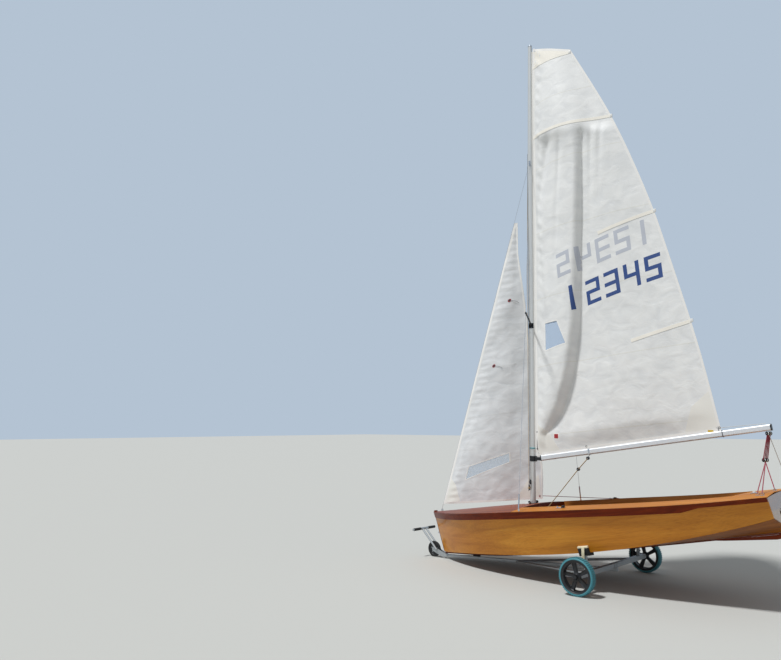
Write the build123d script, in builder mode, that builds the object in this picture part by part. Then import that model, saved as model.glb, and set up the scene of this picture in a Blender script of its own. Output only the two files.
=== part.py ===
from build123d import *
import math
import os

os.makedirs("parts", exist_ok=True)

# A two-sail plywood sailing dinghy, standing on its launching trolley with its bow down.
# Millimetres, x towards the bow, y to port, z up. Hull pieces are drawn in the hull's own frame,
# whose x starts at the transom and whose z starts at the keel line, and are then trimmed bow down.

# Fits and gaps
seat_gap = 0.3
curve_gap = 2.2
keel_gap = 0.8
pin_clearance = 0.05
running_gap = 6.0

# Hull lines, one row a station: x, half breadth of the skin at the sheer, sheer height,
# half breadth at the chine, chine height, keel height
SHEER_HALF, SHEER, CHINE_HALF, CHINE, KEEL = range(1, 6)
stations = [
    (0, 535, 392, 476, 212, 57),
    (500, 615, 397, 521, 130, 42),
    (1000, 673, 414, 571, 76, 24),
    (1500, 707, 440, 604, 46, 10),
    (2000, 715, 468, 602, 38, 3),
    (2500, 689, 495, 550, 47, 2),
    (3000, 601, 518, 451, 66, 10),
    (3500, 410, 541, 288, 87, 42),
    (3900, 144, 566, 78, 97, 82),
]
stem_row = (4062, 20.3, 580, 20.3, 100, 90)
bow_down = 9.28
keel_height = 628

# Plywood skin and hull timbers
ply = 6
bottom_seams = (850, 2450)
deck_ply = 5
transom_thick = 18
stem_top_x = 4080
stem_foot_x = 4000
stem_top_z = 600
stem_foot_z = 107
stem_depth = 52
stem_thick = 28
stem_land = 18
keel_strip_width = 24
keel_strip_depth = 12
skeg_thick = 20
skeg_length = 700
skeg_foot_z = -2
strake_width = 18
strake_depth = 70
strake_depth_aft = 38
strake_step = (560, 720)

# Decks and inside of the hull
foredeck_x = 2500
foredeck_end_x = 4020
deck_crown = 0.065
side_deck_width = 230
side_deck_rise = 30
aft_deck_x = 350
deck_beam_depth = 60
deck_beam_thick = 20
bulkhead_x = 3000
thwart_x = 1500
thwart_width = 150
thwart_thick = 18
thwart_z = 300
case_x = (1250, 2100)
case_wall = 12
case_slot = 30
case_end = 40
board_thick = 19
board_pin_x = 2000
board_pin_z = 120
board_pin_r = 6
board_rise = 45
slat_width = 60
slat_thick = 10
slat_offsets = (90, 190, 290)
slat_x = (420, 2400)
step_length = 140
step_width = 70
step_height = 45

# Hull fittings
drain_length = 100
drain_height = 45
drain_offset = 190
drain_z = 245
gudgeon_bore_r = 4.0
gudgeon_r = 8
gudgeon_height = 22
gudgeon_reach = 26
gudgeon_heights = (120, 330)
shroud_plate_x = 2400
shroud_plate_inset = 22
shroud_plate_height = 26
stay_plate_x = 3950
bow_eye_z = 330
bow_eye_r = 5.0

# Mast and standing rigging, with heights along the mast from the deck
mast_deck_x = 2688
mast_deck_z = 723
mast_rake = 0.974
mast_length = 5467
mast_fore_aft = 65
mast_across = 52
mast_top_fore_aft = 48
mast_top_across = 40
mast_taper_from = 4050
groove_width = 5
groove_depth = 10
groove_from = 620
mast_hole_gap = 7
collar_width = 16
collar_thick = 4
hounds_height = 4000
spreader_height = 2052
spreader_tip = (-169, 400, 2147)
spreader_r = 9
shroud_r = 2
stay_plate_height = 24
adjuster_length = 150
adjuster_width = 14
plate_thick = 4
stay_head_height = hounds_height - 75

# Boom and mainsail, in a frame that turns with the boom about the luff line
luff_offset = 48
gooseneck_height = 527
boom_swing_rest = 4.95
boom_rise = 9.4
boom_length = 2475
boom_depth = 62
boom_width = 46
boom_front = 70
goose_pin_r = 4
goose_eye_r = 7.5
goose_pin_length = 60
sail_thick = 5
# columns: height of the luff, height of the leech, chord, crest's share of the chord and its
# offset to port, fold's share of the chord and its offset
mainsail_rows = [
    (559, 889, 1990, 0.12, 40, 0.20, 24),
    (1400, 1690, 1815, 0.26, 120, 0.38, 84),
    (2300, 2546, 1585, 0.34, 165, 0.48, 118),
    (3250, 3400, 1330, 0.38, 175, 0.60, 110),
    (4270, 4367, 950, 0.42, 165, 0.72, 95),
    (5420, 5280, 480, 0.45, 30, 0.75, 15),
]
# columns: share of the stay from its head, chord, chord's turn to starboard, crest's share and
# offset to port, fold's share and offset
jib_rows = [
    (0.15, 40, 10, 0.45, 2, 0.7, 1),
    (0.40, 420, 12, 0.40, 34, 0.7, 18),
    (0.68, 840, 12, 0.38, 70, 0.68, 38),
    (0.985, 1300, 10, 0.36, 90, 0.66, 50),
]
jib_foot_rise = 5.7

# Launching trolley, on the floor
wheel_r = 183
wheel_x = 1740
half_track = 788
tyre_width = 75
rim_r = 150
rim_wall = 16
hub_r = 30
spoke_count = 5
spoke_width = 34
spoke_thick = 26
axle_pin_r = 12
axle_pin_end = 14
axle_beam = 45
hub_width = 60
cap_gap = 2
cap_r = 18
post_size = 30
pad_length = 110
pad_thick = 28
pad_reach = 70
pad_gap = 0.9
bar_size = 36
bar_front = (3975, 32)
brace_size = 26
brace_from = 560
brace_to_x = 2900
jockey_r = 95
jockey_x = 4123
jockey_width = 26
jockey_bore_r = 8
fork_plate = 5
fork_depth = 40
handle_r = 15
grip_r = 16.5
grip_length = 140
handle_rise = (4290, 330)
handle_half = 210
chock_x = 3480
chock_length = 90


def line_at(x, column):
    """One hull line's value at x, on a curve through its stations."""
    rows = stations + [stem_row]
    i = max(k for k in range(len(rows) - 1) if k == 0 or rows[k][0] <= x)
    before, start = rows[max(i - 1, 0)], rows[i]
    end, after = rows[i + 1], rows[min(i + 2, len(rows) - 1)]
    span = end[0] - start[0]
    t = (x - start[0]) / span
    slope_a = (end[column] - before[column]) / (end[0] - before[0]) * span
    slope_b = (after[column] - start[column]) / (after[0] - start[0]) * span
    curve = (2 * t**3 - 3 * t**2 + 1) * start[column] + (t**3 - 2 * t**2 + t) * slope_a
    return curve + (3 * t**2 - 2 * t**3) * end[column] + (t**3 - t**2) * slope_b


def rows_between(start, end):
    """The hull's rows from start to end, with one worked out at each end."""
    first, last = [(x, *(line_at(x, column) for column in range(1, 6))) for x in (start, end)]
    return [first] + [row for row in stations if start < row[0] < end] + [last]


def floor_at(x, y):
    """Height of the bottom's inner face at x, y."""
    rise = (line_at(x, CHINE) - line_at(x, KEEL)) * abs(y) / line_at(x, CHINE_HALF)
    return line_at(x, KEEL) + rise + ply


def quad(*corners):
    return Face(Wire.make_polygon([Vector(*corner) for corner in corners], close=True))


hull_frame = Location((0, 0, keel_height), (0, bow_down, 0))
mast_frame = Location((mast_deck_x, 0, mast_deck_z), (0, -mast_rake, 0))
swing_frame = mast_frame * Location((-luff_offset, 0, 0), (0, 0, boom_swing_rest))
world_frame = Location((0, 0, 0))
sides = (("port", 1), ("starboard", -1))
pieces = {}


def keep(name, part, frame=world_frame):
    pieces[name] = part.moved(frame)


def hull_point(x, y, z):
    return (hull_frame * Location((x, y, z))).position


def mast_point(x, y, z):
    return (mast_frame * Location((x, y, z))).position


# Topsides: thin plywood from the sheer to the chine, closed on the stem's sides
forefoot_x = stem_foot_x - stem_land
for side, y in sides:
    sections = [
        quad(
            (row[0], y * row[SHEER_HALF], row[SHEER]),
            (row[0], y * (row[SHEER_HALF] - ply), row[SHEER]),
            (row[0], y * (row[CHINE_HALF] - ply), row[CHINE]),
            (row[0], y * row[CHINE_HALF], row[CHINE]),
        )
        for row in stations
    ]
    sections.append(
        quad(
            (stem_row[0], y * stem_row[SHEER_HALF], stem_row[SHEER]),
            (stem_row[0], y * (stem_row[SHEER_HALF] - ply), stem_row[SHEER]),
            (forefoot_x, y * (stem_row[CHINE_HALF] - ply), stem_row[CHINE]),
            (forefoot_x, y * stem_row[CHINE_HALF], stem_row[CHINE]),
        )
    )
    with BuildPart() as topside:
        loft(sections=sections)
    keep(f"topside_{side}", topside.part, hull_frame)

# Bottom: two shallow panels that meet along the keel, each in three lengths of plywood that meet at
# the seams, with a slot for the centreboard
widest = max(row[SHEER_HALF] for row in stations)
for side, y in sides:
    sections = []
    for row in stations + [(forefoot_x, *stem_row[1:])]:
        x, chine_half, chine, keel = row[0], row[CHINE_HALF], row[CHINE], row[KEEL]
        outer = chine_half - ply - 1.5 * curve_gap
        edge = keel + (chine - keel) * outer / chine_half
        sections.append(
            quad(
                (x, y * seat_gap / 2, keel),
                (x, y * seat_gap / 2, keel + ply),
                (x, y * outer, edge + ply),
                (x, y * outer, edge),
            )
        )
    with BuildPart() as bottom:
        loft(sections=sections)
        with Locations(((case_x[0] + case_x[1]) / 2, 0, 0)):
            Box(case_x[1] - case_x[0] - 2 * case_end, case_slot, 8 * ply, mode=Mode.SUBTRACT)
        with Locations(*[(seam, 0, 0) for seam in bottom_seams]):
            Box(seat_gap, 2 * widest, 2 * stations[0][SHEER], mode=Mode.SUBTRACT)
    keep(f"bottom_{side}", bottom.part, hull_frame)

# Keel strip, under the bottom from the transom to the stem
with BuildPart() as keel_strip:
    half = keel_strip_width / 2
    loft(
        sections=[
            quad(
                (row[0], -half, row[KEEL] - keel_gap),
                (row[0], half, row[KEEL] - keel_gap),
                (row[0], half, row[KEEL] - keel_strip_depth),
                (row[0], -half, row[KEEL] - keel_strip_depth),
            )
            for row in stations + [(forefoot_x, *stem_row[1:])]
        ]
    )
    with Locations(((case_x[0] + case_x[1]) / 2, 0, 0)):
        Box(case_x[1] - case_x[0] - 2 * case_end, case_slot - 8, 8 * ply, mode=Mode.SUBTRACT)
keep("keel_strip", keel_strip.part, hull_frame)

# Skeg under the stern
with BuildPart() as skeg:
    half = skeg_thick / 2
    with BuildSketch(Plane.XZ):
        with BuildLine():
            top = [(x, line_at(x, KEEL) - keel_strip_depth - seat_gap) for x in (20, 250, 500, skeg_length)]
            foot = [(skeg_length - 90, skeg_foot_z + 18), (150, skeg_foot_z), (20, skeg_foot_z + 14)]
            Polyline(*top, *foot, close=True)
        make_face()
    extrude(amount=half, both=True)
keep("skeg", skeg.part, hull_frame)

# Transom, inside the skin, with two drain holes
with BuildPart() as transom:
    gap = ply + seat_gap
    with BuildSketch(Plane.YZ):
        with BuildLine():
            sheer = (line_at(0, SHEER_HALF) - gap, line_at(0, SHEER))
            chine = (line_at(0, CHINE_HALF) - gap, line_at(0, CHINE) + ply)
            keel = (0, line_at(0, KEEL) + gap)
            crown = (0, sheer[1] + side_deck_rise - seat_gap)
            Polyline((-sheer[0], sheer[1]), (-chine[0], chine[1]), keel, chine, sheer)
            ThreePointArc(sheer, crown, (-sheer[0], sheer[1]))
        make_face()
        with Locations((drain_offset, drain_z), (-drain_offset, drain_z)):
            SlotOverall(drain_length, drain_height, mode=Mode.SUBTRACT)
    extrude(amount=transom_thick)
keep("transom", transom.part, hull_frame)

# Drain flaps, hinged rubber covers over the drain holes, held shut
with BuildPart() as drain_flaps:
    with BuildSketch(Plane.YZ.offset(-seat_gap)):
        with Locations((drain_offset, drain_z), (-drain_offset, drain_z)):
            SlotOverall(drain_length + 24, drain_height + 24)
    extrude(amount=-4)
keep("drain_flaps", drain_flaps.part, hull_frame)

# Stem post
with BuildPart() as stem:
    with BuildSketch(Plane.XZ):
        with BuildLine():
            Polyline(
                (stem_foot_x - stem_depth, stem_foot_z),
                (stem_foot_x, stem_foot_z),
                (stem_top_x, stem_top_z),
                (stem_top_x - stem_depth + 12, stem_top_z),
                close=True,
            )
        make_face()
    extrude(amount=stem_thick / 2, both=True)
    nose = stem.edges().filter_by(Axis.Z, tolerance=15).sort_by(Axis.X)[-2:]
    fillet(nose, radius=8)
keep("stem", stem.part, hull_frame)

# Rubbing strakes outside the sheer, deep forward and stepped down towards the stern
for side, y in sides:
    sections = []
    for row in stations + [stem_row]:
        x, foot_x = row[0], row[0] if row is not stem_row else row[0] - 14
        flare = (row[SHEER_HALF] - row[CHINE_HALF]) / (row[SHEER] - row[CHINE])
        inner, top = row[SHEER_HALF] + curve_gap, row[SHEER] + deck_ply
        low = top - strake_depth
        sections.append(
            quad(
                (x, y * (inner + flare * deck_ply), top),
                (x, y * (inner + strake_width), top),
                (foot_x, y * (inner + strake_width - flare * strake_depth), low),
                (foot_x, y * (inner - flare * (strake_depth - deck_ply)), low),
            )
        )
    with BuildPart() as strake:
        loft(sections=sections)
        with BuildSketch(Plane.XZ):
            with BuildLine():
                rise = deck_ply - strake_depth_aft
                aft = [(x, line_at(x, SHEER) + rise) for x in (-10, 0, strake_step[0] / 2, strake_step[0])]
                low = line_at(strake_step[1], SHEER) + deck_ply - strake_depth
                under = low - 60
                Polyline(*aft, (strake_step[1], low), (strake_step[1], under), (-10, under), close=True)
            make_face()
        extrude(amount=2 * row[0], both=True, mode=Mode.SUBTRACT)
    keep(f"rubbing_strake_{side}", strake.part, hull_frame)

mast_in_hull = hull_frame.inverse() * mast_frame


def oval(fore_aft, across):
    Ellipse(fore_aft / 2, across / 2)


# Foredeck, crowned, with the mast's hole
with BuildPart() as foredeck:
    for x, sheer_half, sheer, *lower in rows_between(foredeck_x, foredeck_end_x):
        half, low = sheer_half - curve_gap, sheer + curve_gap
        crown = low + deck_crown * half
        with BuildSketch(Plane.YZ.offset(x)):
            with BuildLine():
                ThreePointArc((-half, low), (0, crown), (half, low))
                Line((half, low), (half, low + deck_ply))
                ThreePointArc((half, low + deck_ply), (0, crown + deck_ply), (-half, low + deck_ply))
                Line((-half, low + deck_ply), (-half, low))
            make_face()
    loft()
    with BuildSketch(Plane(mast_in_hull)):
        oval(mast_fore_aft + 2 * mast_hole_gap, mast_across + 2 * mast_hole_gap)
    extrude(amount=120, both=True, mode=Mode.SUBTRACT)
keep("foredeck", foredeck.part, hull_frame)

# Deck beam under the foredeck's aft edge
with BuildPart() as deck_beam:
    half = line_at(foredeck_x, SHEER_HALF) - ply - curve_gap
    low = line_at(foredeck_x, SHEER)
    foot_half = half - (line_at(foredeck_x, SHEER_HALF) - line_at(foredeck_x, CHINE_HALF)) / 12 - 4
    crown = low + deck_crown * half * 0.985
    with BuildSketch(Plane.YZ.offset(foredeck_x + seat_gap)):
        with BuildLine():
            ThreePointArc((-half, low), (0, crown), (half, low))
            foot = low - deck_beam_depth / 2
            Line((half, low), (foot_half, foot))
            ThreePointArc((foot_half, foot), (0, crown - deck_beam_depth), (-foot_half, foot))
            Line((-foot_half, foot), (-half, low))
        make_face()
    extrude(amount=deck_beam_thick)
keep("deck_beam", deck_beam.part, hull_frame)

# Mast collar on the deck
with BuildPart() as mast_collar:
    mast_x = mast_in_hull.position.X
    level = line_at(mast_x, SHEER) + deck_crown * line_at(mast_x, SHEER_HALF)
    collar_at = Plane(origin=(mast_x, 0, level + deck_ply + 2.8), z_dir=(-0.045, 0, 1))
    with BuildSketch(collar_at):
        collar_out = 2 * mast_hole_gap + 2 * collar_width
        oval(mast_fore_aft + collar_out, mast_across + collar_out)
        oval_gap = 2 * (mast_hole_gap - 3)
        Ellipse((mast_fore_aft + oval_gap) / 2 + 2, (mast_across + oval_gap) / 2, mode=Mode.SUBTRACT)
    extrude(amount=collar_thick)
keep("mast_collar", mast_collar.part, hull_frame)

# Forward bulkhead, under the foredeck
with BuildPart() as bulkhead:
    x = bulkhead_x
    gap = ply + 2
    with BuildSketch(Plane.YZ.offset(x)):
        with BuildLine():
            top = (line_at(x, SHEER_HALF) - gap, line_at(x, SHEER) - 1)
            foot = (line_at(x, CHINE_HALF) - gap, line_at(x, CHINE) + ply + 1)
            keel = (0, line_at(x, KEEL) + ply + 1)
            crown = (0, line_at(x, SHEER) + deck_crown * line_at(x, SHEER_HALF) - 1)
            Polyline((-top[0], top[1]), (-foot[0], foot[1]), keel, foot, top)
            ThreePointArc(top, crown, (-top[0], top[1]))
        make_face()
    extrude(amount=ply)
keep("forward_bulkhead", bulkhead.part, hull_frame)

# Side decks, rising inwards, and the side tanks' inner walls under them
for side, y in sides:
    sections, walls = [], []
    for row in rows_between(0, foredeck_x - seat_gap):
        x = row[0]
        outer, inner = row[SHEER_HALF] - curve_gap, row[SHEER_HALF] - side_deck_width
        low, high = row[SHEER] + curve_gap, row[SHEER] + side_deck_rise
        sections.append(
            quad(
                (x, y * outer, low),
                (x, y * outer, low + deck_ply),
                (x, y * inner, high + deck_ply),
                (x, y * inner, high),
            )
        )
        wall_x = max(x, transom_thick + seat_gap)
        foot = floor_at(row[0], inner + ply)
        walls.append(
            quad(
                (wall_x, y * inner, high - seat_gap),
                (wall_x, y * (inner + ply), high - seat_gap - 1),
                (wall_x, y * (inner + ply), foot + 0.6),
                (wall_x, y * inner, foot + 0.6),
            )
        )
    with BuildPart() as side_deck:
        loft(sections=sections)
    keep(f"side_deck_{side}", side_deck.part, hull_frame)
    with BuildPart() as tank_wall:
        loft(sections=walls)
    keep(f"side_tank_{side}", tank_wall.part, hull_frame)

# Aft deck across the stern, between the side decks, and the bulkhead under its front edge
with BuildPart() as aft_deck:
    sections = []
    for x in (0, aft_deck_x):
        half = line_at(x, SHEER_HALF) - side_deck_width - seat_gap
        high = line_at(x, SHEER) + side_deck_rise
        sections.append(
            quad((x, -half, high), (x, half, high), (x, half, high + deck_ply), (x, -half, high + deck_ply))
        )
    loft(sections=sections)
keep("aft_deck", aft_deck.part, hull_frame)
with BuildPart() as stern_bulkhead:
    x = aft_deck_x - 2 * ply
    half = line_at(x, SHEER_HALF) - side_deck_width - seat_gap - 0.5
    top = line_at(x, SHEER) + side_deck_rise - 0.8
    with BuildSketch(Plane.YZ.offset(x)):
        with BuildLine():
            Polyline(
                (-half, top),
                (-half, floor_at(x, half) + 0.8),
                (0, floor_at(x, 0) + 0.8),
                (half, floor_at(x, half) + 0.8),
                (half, top),
                close=True,
            )
        make_face()
    extrude(amount=ply)
keep("stern_bulkhead", stern_bulkhead.part, hull_frame)

# Centreboard case on the keel line, with the board held up in it on its pin
with BuildPart() as board_case:
    with BuildSketch(Plane.XZ):
        with BuildLine():
            case_spans = [case_x[0] + (case_x[1] - case_x[0]) * k / 4 for k in range(5)]
            floor = [(x, floor_at(x, case_slot) + 0.8) for x in case_spans]
            top = thwart_z - seat_gap
            Polyline((case_x[0], top), *floor, (case_x[1], top), close=True)
        make_face()
    extrude(amount=case_slot / 2 + case_wall, both=True)
    with Locations(((case_x[0] + case_x[1]) / 2, 0, thwart_z / 2)):
        Box(case_x[1] - case_x[0] - 2 * case_end, case_slot, 2 * thwart_z, mode=Mode.SUBTRACT)
    with BuildSketch(Plane.XZ):
        with Locations((board_pin_x, board_pin_z)):
            Circle(board_pin_r + pin_clearance)
    extrude(amount=case_slot, both=True, mode=Mode.SUBTRACT)
keep("centreboard_case", board_case.part, hull_frame)
with BuildPart() as centreboard:
    first, last = case_x[0] + case_end + 10, case_x[1] - case_end - 10
    with BuildSketch(Plane.XZ):
        with BuildLine():
            Polyline(
                (first, 90),
                (first + 60, 26),
                (last - 90, 14),
                (last, 60),
                (last, 250),
                (last - 80, thwart_z + board_rise),
                (last - 230, thwart_z + board_rise),
                (last - 260, thwart_z - 30),
                (first, thwart_z - 60),
                close=True,
            )
        make_face()
    extrude(amount=board_thick / 2, both=True)
    with BuildSketch(Plane.XZ):
        with Locations((board_pin_x, board_pin_z)):
            Circle(board_pin_r + pin_clearance)
    extrude(amount=case_slot, both=True, mode=Mode.SUBTRACT)
keep("centreboard", centreboard.part, hull_frame)
with BuildPart() as board_pin:
    with BuildSketch(Plane.XZ):
        with Locations((board_pin_x, board_pin_z)):
            Circle(board_pin_r)
    extrude(amount=case_slot / 2 + case_wall + 4, both=True)
keep("centreboard_pin", board_pin.part, hull_frame)

# Thwart from tank to tank, across the top of the case
with BuildPart() as thwart:
    sections = []
    for x in (thwart_x - thwart_width / 2, thwart_x + thwart_width / 2):
        half = line_at(x, SHEER_HALF) - side_deck_width - 0.6
        low, high = thwart_z, thwart_z + thwart_thick
        sections.append(quad((x, -half, low), (x, half, low), (x, half, high), (x, -half, high)))
    loft(sections=sections)
keep("thwart", thwart.part, hull_frame)

# Floor slats, either side of the keel
with BuildPart() as floor_slats:
    for y in (1, -1):
        for offset in slat_offsets:
            sections = []
            for x in [slat_x[0] + (slat_x[1] - slat_x[0]) * k / 4 for k in range(5)]:
                near, far = offset - slat_width / 2, offset + slat_width / 2
                low_near, low_far = floor_at(x, near) + 0.6, floor_at(x, far) + 0.6
                sections.append(
                    quad(
                        (x, y * near, low_near),
                        (x, y * near, low_near + slat_thick),
                        (x, y * far, low_far + slat_thick),
                        (x, y * far, low_far),
                    )
                )
            loft(sections=sections)
keep("floor_slats", floor_slats.part, hull_frame)

# Mast step on the keel, under the mast's foot
step_top = line_at(mast_in_hull.position.X, KEEL) + ply + step_height
foot_drop = mast_in_hull.position.Z - step_top
foot_length = foot_drop / math.cos(math.radians(bow_down + mast_rake))
foot_x = mast_in_hull.position.X + foot_drop * math.tan(math.radians(bow_down + mast_rake))
with BuildPart() as mast_step:
    with BuildSketch(Plane.XZ):
        with BuildLine():
            ends = (foot_x - step_length / 2, foot_x + step_length / 2)
            lows = [floor_at(x, step_width / 2) + 0.6 for x in ends]
            tops = [step_top + (x - foot_x) * math.tan(math.radians(bow_down + mast_rake)) for x in ends]
            corners = [(ends[0], lows[0]), (ends[1], lows[1]), (ends[1], tops[1]), (ends[0], tops[0])]
            Polyline(*corners, close=True)
        make_face()
    extrude(amount=step_width / 2, both=True)
keep("mast_step", mast_step.part, hull_frame)

# Rudder gudgeons on the transom, an upper and a lower one, each with an upright bore
with BuildPart() as gudgeons:
    for z in gudgeon_heights:
        with BuildSketch(Plane.XY.offset(z - gudgeon_height / 2)):
            with Locations((-gudgeon_reach, 0)):
                Circle(gudgeon_r)
            with Locations((-gudgeon_reach / 2 - seat_gap, 0)):
                Rectangle(gudgeon_reach - 1, 2 * gudgeon_r)
        extrude(amount=gudgeon_height)
        with Locations((-2 - seat_gap, 0, z)):
            Box(4, 56, gudgeon_height)
    with BuildSketch(Plane.XY):
        with Locations((-gudgeon_reach, 0)):
            Circle(gudgeon_bore_r)
    extrude(amount=2 * gudgeon_heights[-1], mode=Mode.SUBTRACT)
keep("gudgeons", gudgeons.part, hull_frame)

# Bow eye on the stem, for the painter
with BuildPart() as bow_eye:
    lean = (stem_top_x - stem_foot_x) / (stem_top_z - stem_foot_z)
    eye_x = stem_foot_x + (bow_eye_z - stem_foot_z) * lean
    with BuildSketch(Plane.XZ):
        with Locations((eye_x + 16, bow_eye_z)):
            Circle(bow_eye_r + 5)
            Circle(bow_eye_r, mode=Mode.SUBTRACT)
        with Locations((eye_x + 5.4, bow_eye_z)):
            Rectangle(5, 24)
    extrude(amount=4, both=True)
keep("bow_eye", bow_eye.part, hull_frame)

# Mast: an oval aluminium tube's outside, tapered above the hounds, with the sail's groove
with BuildPart() as mast:
    with BuildSketch(Plane.XY.offset(-foot_length + 1)):
        oval(mast_fore_aft, mast_across)
    extrude(amount=foot_length - 1 + mast_taper_from)
    with BuildSketch(Plane.XY.offset(mast_taper_from)):
        oval(mast_fore_aft, mast_across)
    with BuildSketch(Plane.XY.offset(mast_length)):
        with Locations((-(mast_fore_aft - mast_top_fore_aft) / 2, 0)):
            oval(mast_top_fore_aft, mast_top_across)
    loft()
    groove_middle = (groove_from + mast_length) / 2
    with Locations((-mast_fore_aft / 2 + groove_depth / 2 - 1, 0, groove_middle)):
        Box(groove_depth + 2, groove_width, mast_length - groove_from + 2, mode=Mode.SUBTRACT)
keep("mast", mast.part, mast_frame)

# Masthead cap with its sheave cheeks
with BuildPart() as mast_cap:
    shift = -(mast_fore_aft - mast_top_fore_aft) / 2
    with BuildSketch(Plane.XY.offset(mast_length + seat_gap)):
        with Locations((shift, 0)):
            oval(mast_top_fore_aft + 4, mast_top_across + 4)
    extrude(amount=14, taper=12)
    with Locations((shift, 0, mast_length + 20)):
        Sphere(9)
keep("mast_cap", mast_cap.part, mast_frame)

# Spreaders, a swept pair on one bracket ahead of the mast's groove
with BuildPart() as spreaders:
    for side, y in sides:
        root = Vector(-12, y * (mast_across / 2 - 1.5), spreader_height)
        tip = Vector(spreader_tip[0], y * spreader_tip[1], spreader_tip[2])
        with BuildSketch(Plane(origin=root, z_dir=tip - root)):
            Circle(spreader_r)
        extrude(amount=(tip - root).length)
    with BuildSketch(Plane.XY.offset(spreader_height - 30)):
        oval(mast_fore_aft + 6, mast_across + 6)
        oval(mast_fore_aft + 2 * seat_gap, mast_across + 2 * seat_gap)
    extrude(amount=60)
    with Locations((-mast_fore_aft / 2, 0, spreader_height)):
        Box(30, 24, 80, mode=Mode.SUBTRACT)
    with BuildSketch(Plane.XY.offset(spreader_height - 60)):
        oval(mast_fore_aft + 2 * seat_gap, mast_across + 2 * seat_gap)
    extrude(amount=120, mode=Mode.SUBTRACT)
keep("spreaders", spreaders.part, mast_frame)

# Hounds: the tangs that the shrouds and the forestay hang on
with BuildPart() as hounds:
    for y in (1, -1):
        with Locations((-8, y * (mast_across / 2 + plate_thick / 2 + seat_gap), hounds_height)):
            Box(24, plate_thick, 60)
    with Locations((mast_fore_aft / 2 + plate_thick / 2 + seat_gap, 0, stay_head_height + 14)):
        Box(plate_thick, 20, 60)
keep("hounds", hounds.part, mast_frame)


def rod(start, end, radius):
    along = Vector(*end) - Vector(*start)
    with BuildPart() as run:
        with BuildSketch(Plane(origin=start, z_dir=along)):
            Circle(radius)
        extrude(amount=along.length)
    return run.part


# Shrouds, over the spreaders' tips, their adjusters and the plates on the side decks
plate_half = line_at(shroud_plate_x, SHEER_HALF) - shroud_plate_inset
plate_low = line_at(shroud_plate_x, SHEER) + deck_ply + curve_gap + seat_gap
plate_low += side_deck_rise * (shroud_plate_inset + plate_thick) / side_deck_width
adjusters = []
for side, y in sides:
    head = mast_point(-8, y * (mast_across / 2 + plate_thick + 2 * seat_gap + shroud_r), hounds_height)
    reach = 1 + (shroud_r + 1.5) / math.hypot(*spreader_tip[:2])
    bend = mast_point(spreader_tip[0] * reach, y * spreader_tip[1] * reach, spreader_tip[2])
    eye = hull_point(shroud_plate_x, y * plate_half, plate_low + shroud_plate_height)
    up = (bend - eye).normalized()
    runs = [rod(head, bend, shroud_r), rod(bend, eye + up * (adjuster_length + 2), shroud_r)]
    with BuildPart() as shroud:
        add(runs)
    keep(f"shroud_{side}", shroud.part)
    with BuildPart() as adjuster:
        with BuildSketch(Plane(origin=eye + up * 1.4, x_dir=(1, 0, 0.05), z_dir=up)):
            Rectangle(adjuster_width, plate_thick)
        extrude(amount=adjuster_length)
    adjusters.append(adjuster.part)
with BuildPart() as shroud_adjusters:
    add(adjusters)
keep("shroud_adjusters", shroud_adjusters.part)
with BuildPart() as shroud_plates:
    plate_z = plate_low + shroud_plate_height / 2
    with Locations((shroud_plate_x, plate_half, plate_z), (shroud_plate_x, -plate_half, plate_z)):
        Box(adjuster_width + 6, plate_thick, shroud_plate_height - 2 * seat_gap)
keep("shroud_plates", shroud_plates.part, hull_frame)

# Forestay and its plate on the foredeck
stay_deck = line_at(stay_plate_x, SHEER) + deck_ply + 2 * curve_gap
stay_deck += deck_crown * line_at(stay_plate_x, SHEER_HALF)
stay_low = hull_point(stay_plate_x, 0, stay_deck + stay_plate_height + 1.2)
stay_high = mast_point(mast_fore_aft / 2 + plate_thick + 2 * seat_gap + shroud_r, 0, stay_head_height)
with BuildPart() as stay_plate:
    with Locations((stay_plate_x, 0, stay_deck + stay_plate_height / 2)):
        Box(30, plate_thick, stay_plate_height)
keep("stay_plate", stay_plate.part, hull_frame)
keep("forestay", rod(stay_low, stay_high, shroud_r))


def sail_section(chord, crest_share, crest, fold_share, fold):
    """A sail's section: a crest to port, then a fold and a hollow to the leech."""
    half = sail_thick / 2
    crest_x, fold_x = crest_share * chord, fold_share * chord
    with BuildSketch() as section:
        with BuildLine():
            near = ThreePointArc((0, half), (crest_x, crest + half), (fold_x, fold + half))
            TangentArc([(fold_x, fold + half), (chord, half)], tangent=near % 1)
            Line((chord, half), (chord, -half))
            far = ThreePointArc((0, -half), (crest_x, crest - half), (fold_x, fold - half))
            TangentArc([(fold_x, fold - half), (chord, -half)], tangent=far % 1)
            Line((0, -half), (0, half))
        make_face()
    return section.sketch


# Gooseneck: a band round the mast with two lugs and the upright pin
with BuildPart() as gooseneck:
    with BuildSketch(Plane.XY.offset(gooseneck_height - goose_pin_length / 2)):
        oval(mast_fore_aft + 6, mast_across + 6)
        Ellipse(mast_fore_aft / 2 + seat_gap, mast_across / 2 + seat_gap, mode=Mode.SUBTRACT)
    extrude(amount=goose_pin_length)
    for z in (-goose_pin_length / 2 + 5, goose_pin_length / 2 - 5):
        with BuildSketch(Plane.XY.offset(gooseneck_height + z - 5)):
            with Locations((-(luff_offset + mast_fore_aft / 2 + 1) / 2, 0)):
                Rectangle(luff_offset - mast_fore_aft / 2 - 1, 18)
            with Locations((-luff_offset, 0)):
                Circle(goose_eye_r)
        extrude(amount=10)
    with BuildSketch(Plane.XY.offset(gooseneck_height - goose_pin_length / 2)):
        with Locations((-luff_offset, 0)):
            Circle(goose_pin_r)
    extrude(amount=goose_pin_length)
keep("gooseneck", gooseneck.part, mast_frame)

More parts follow.
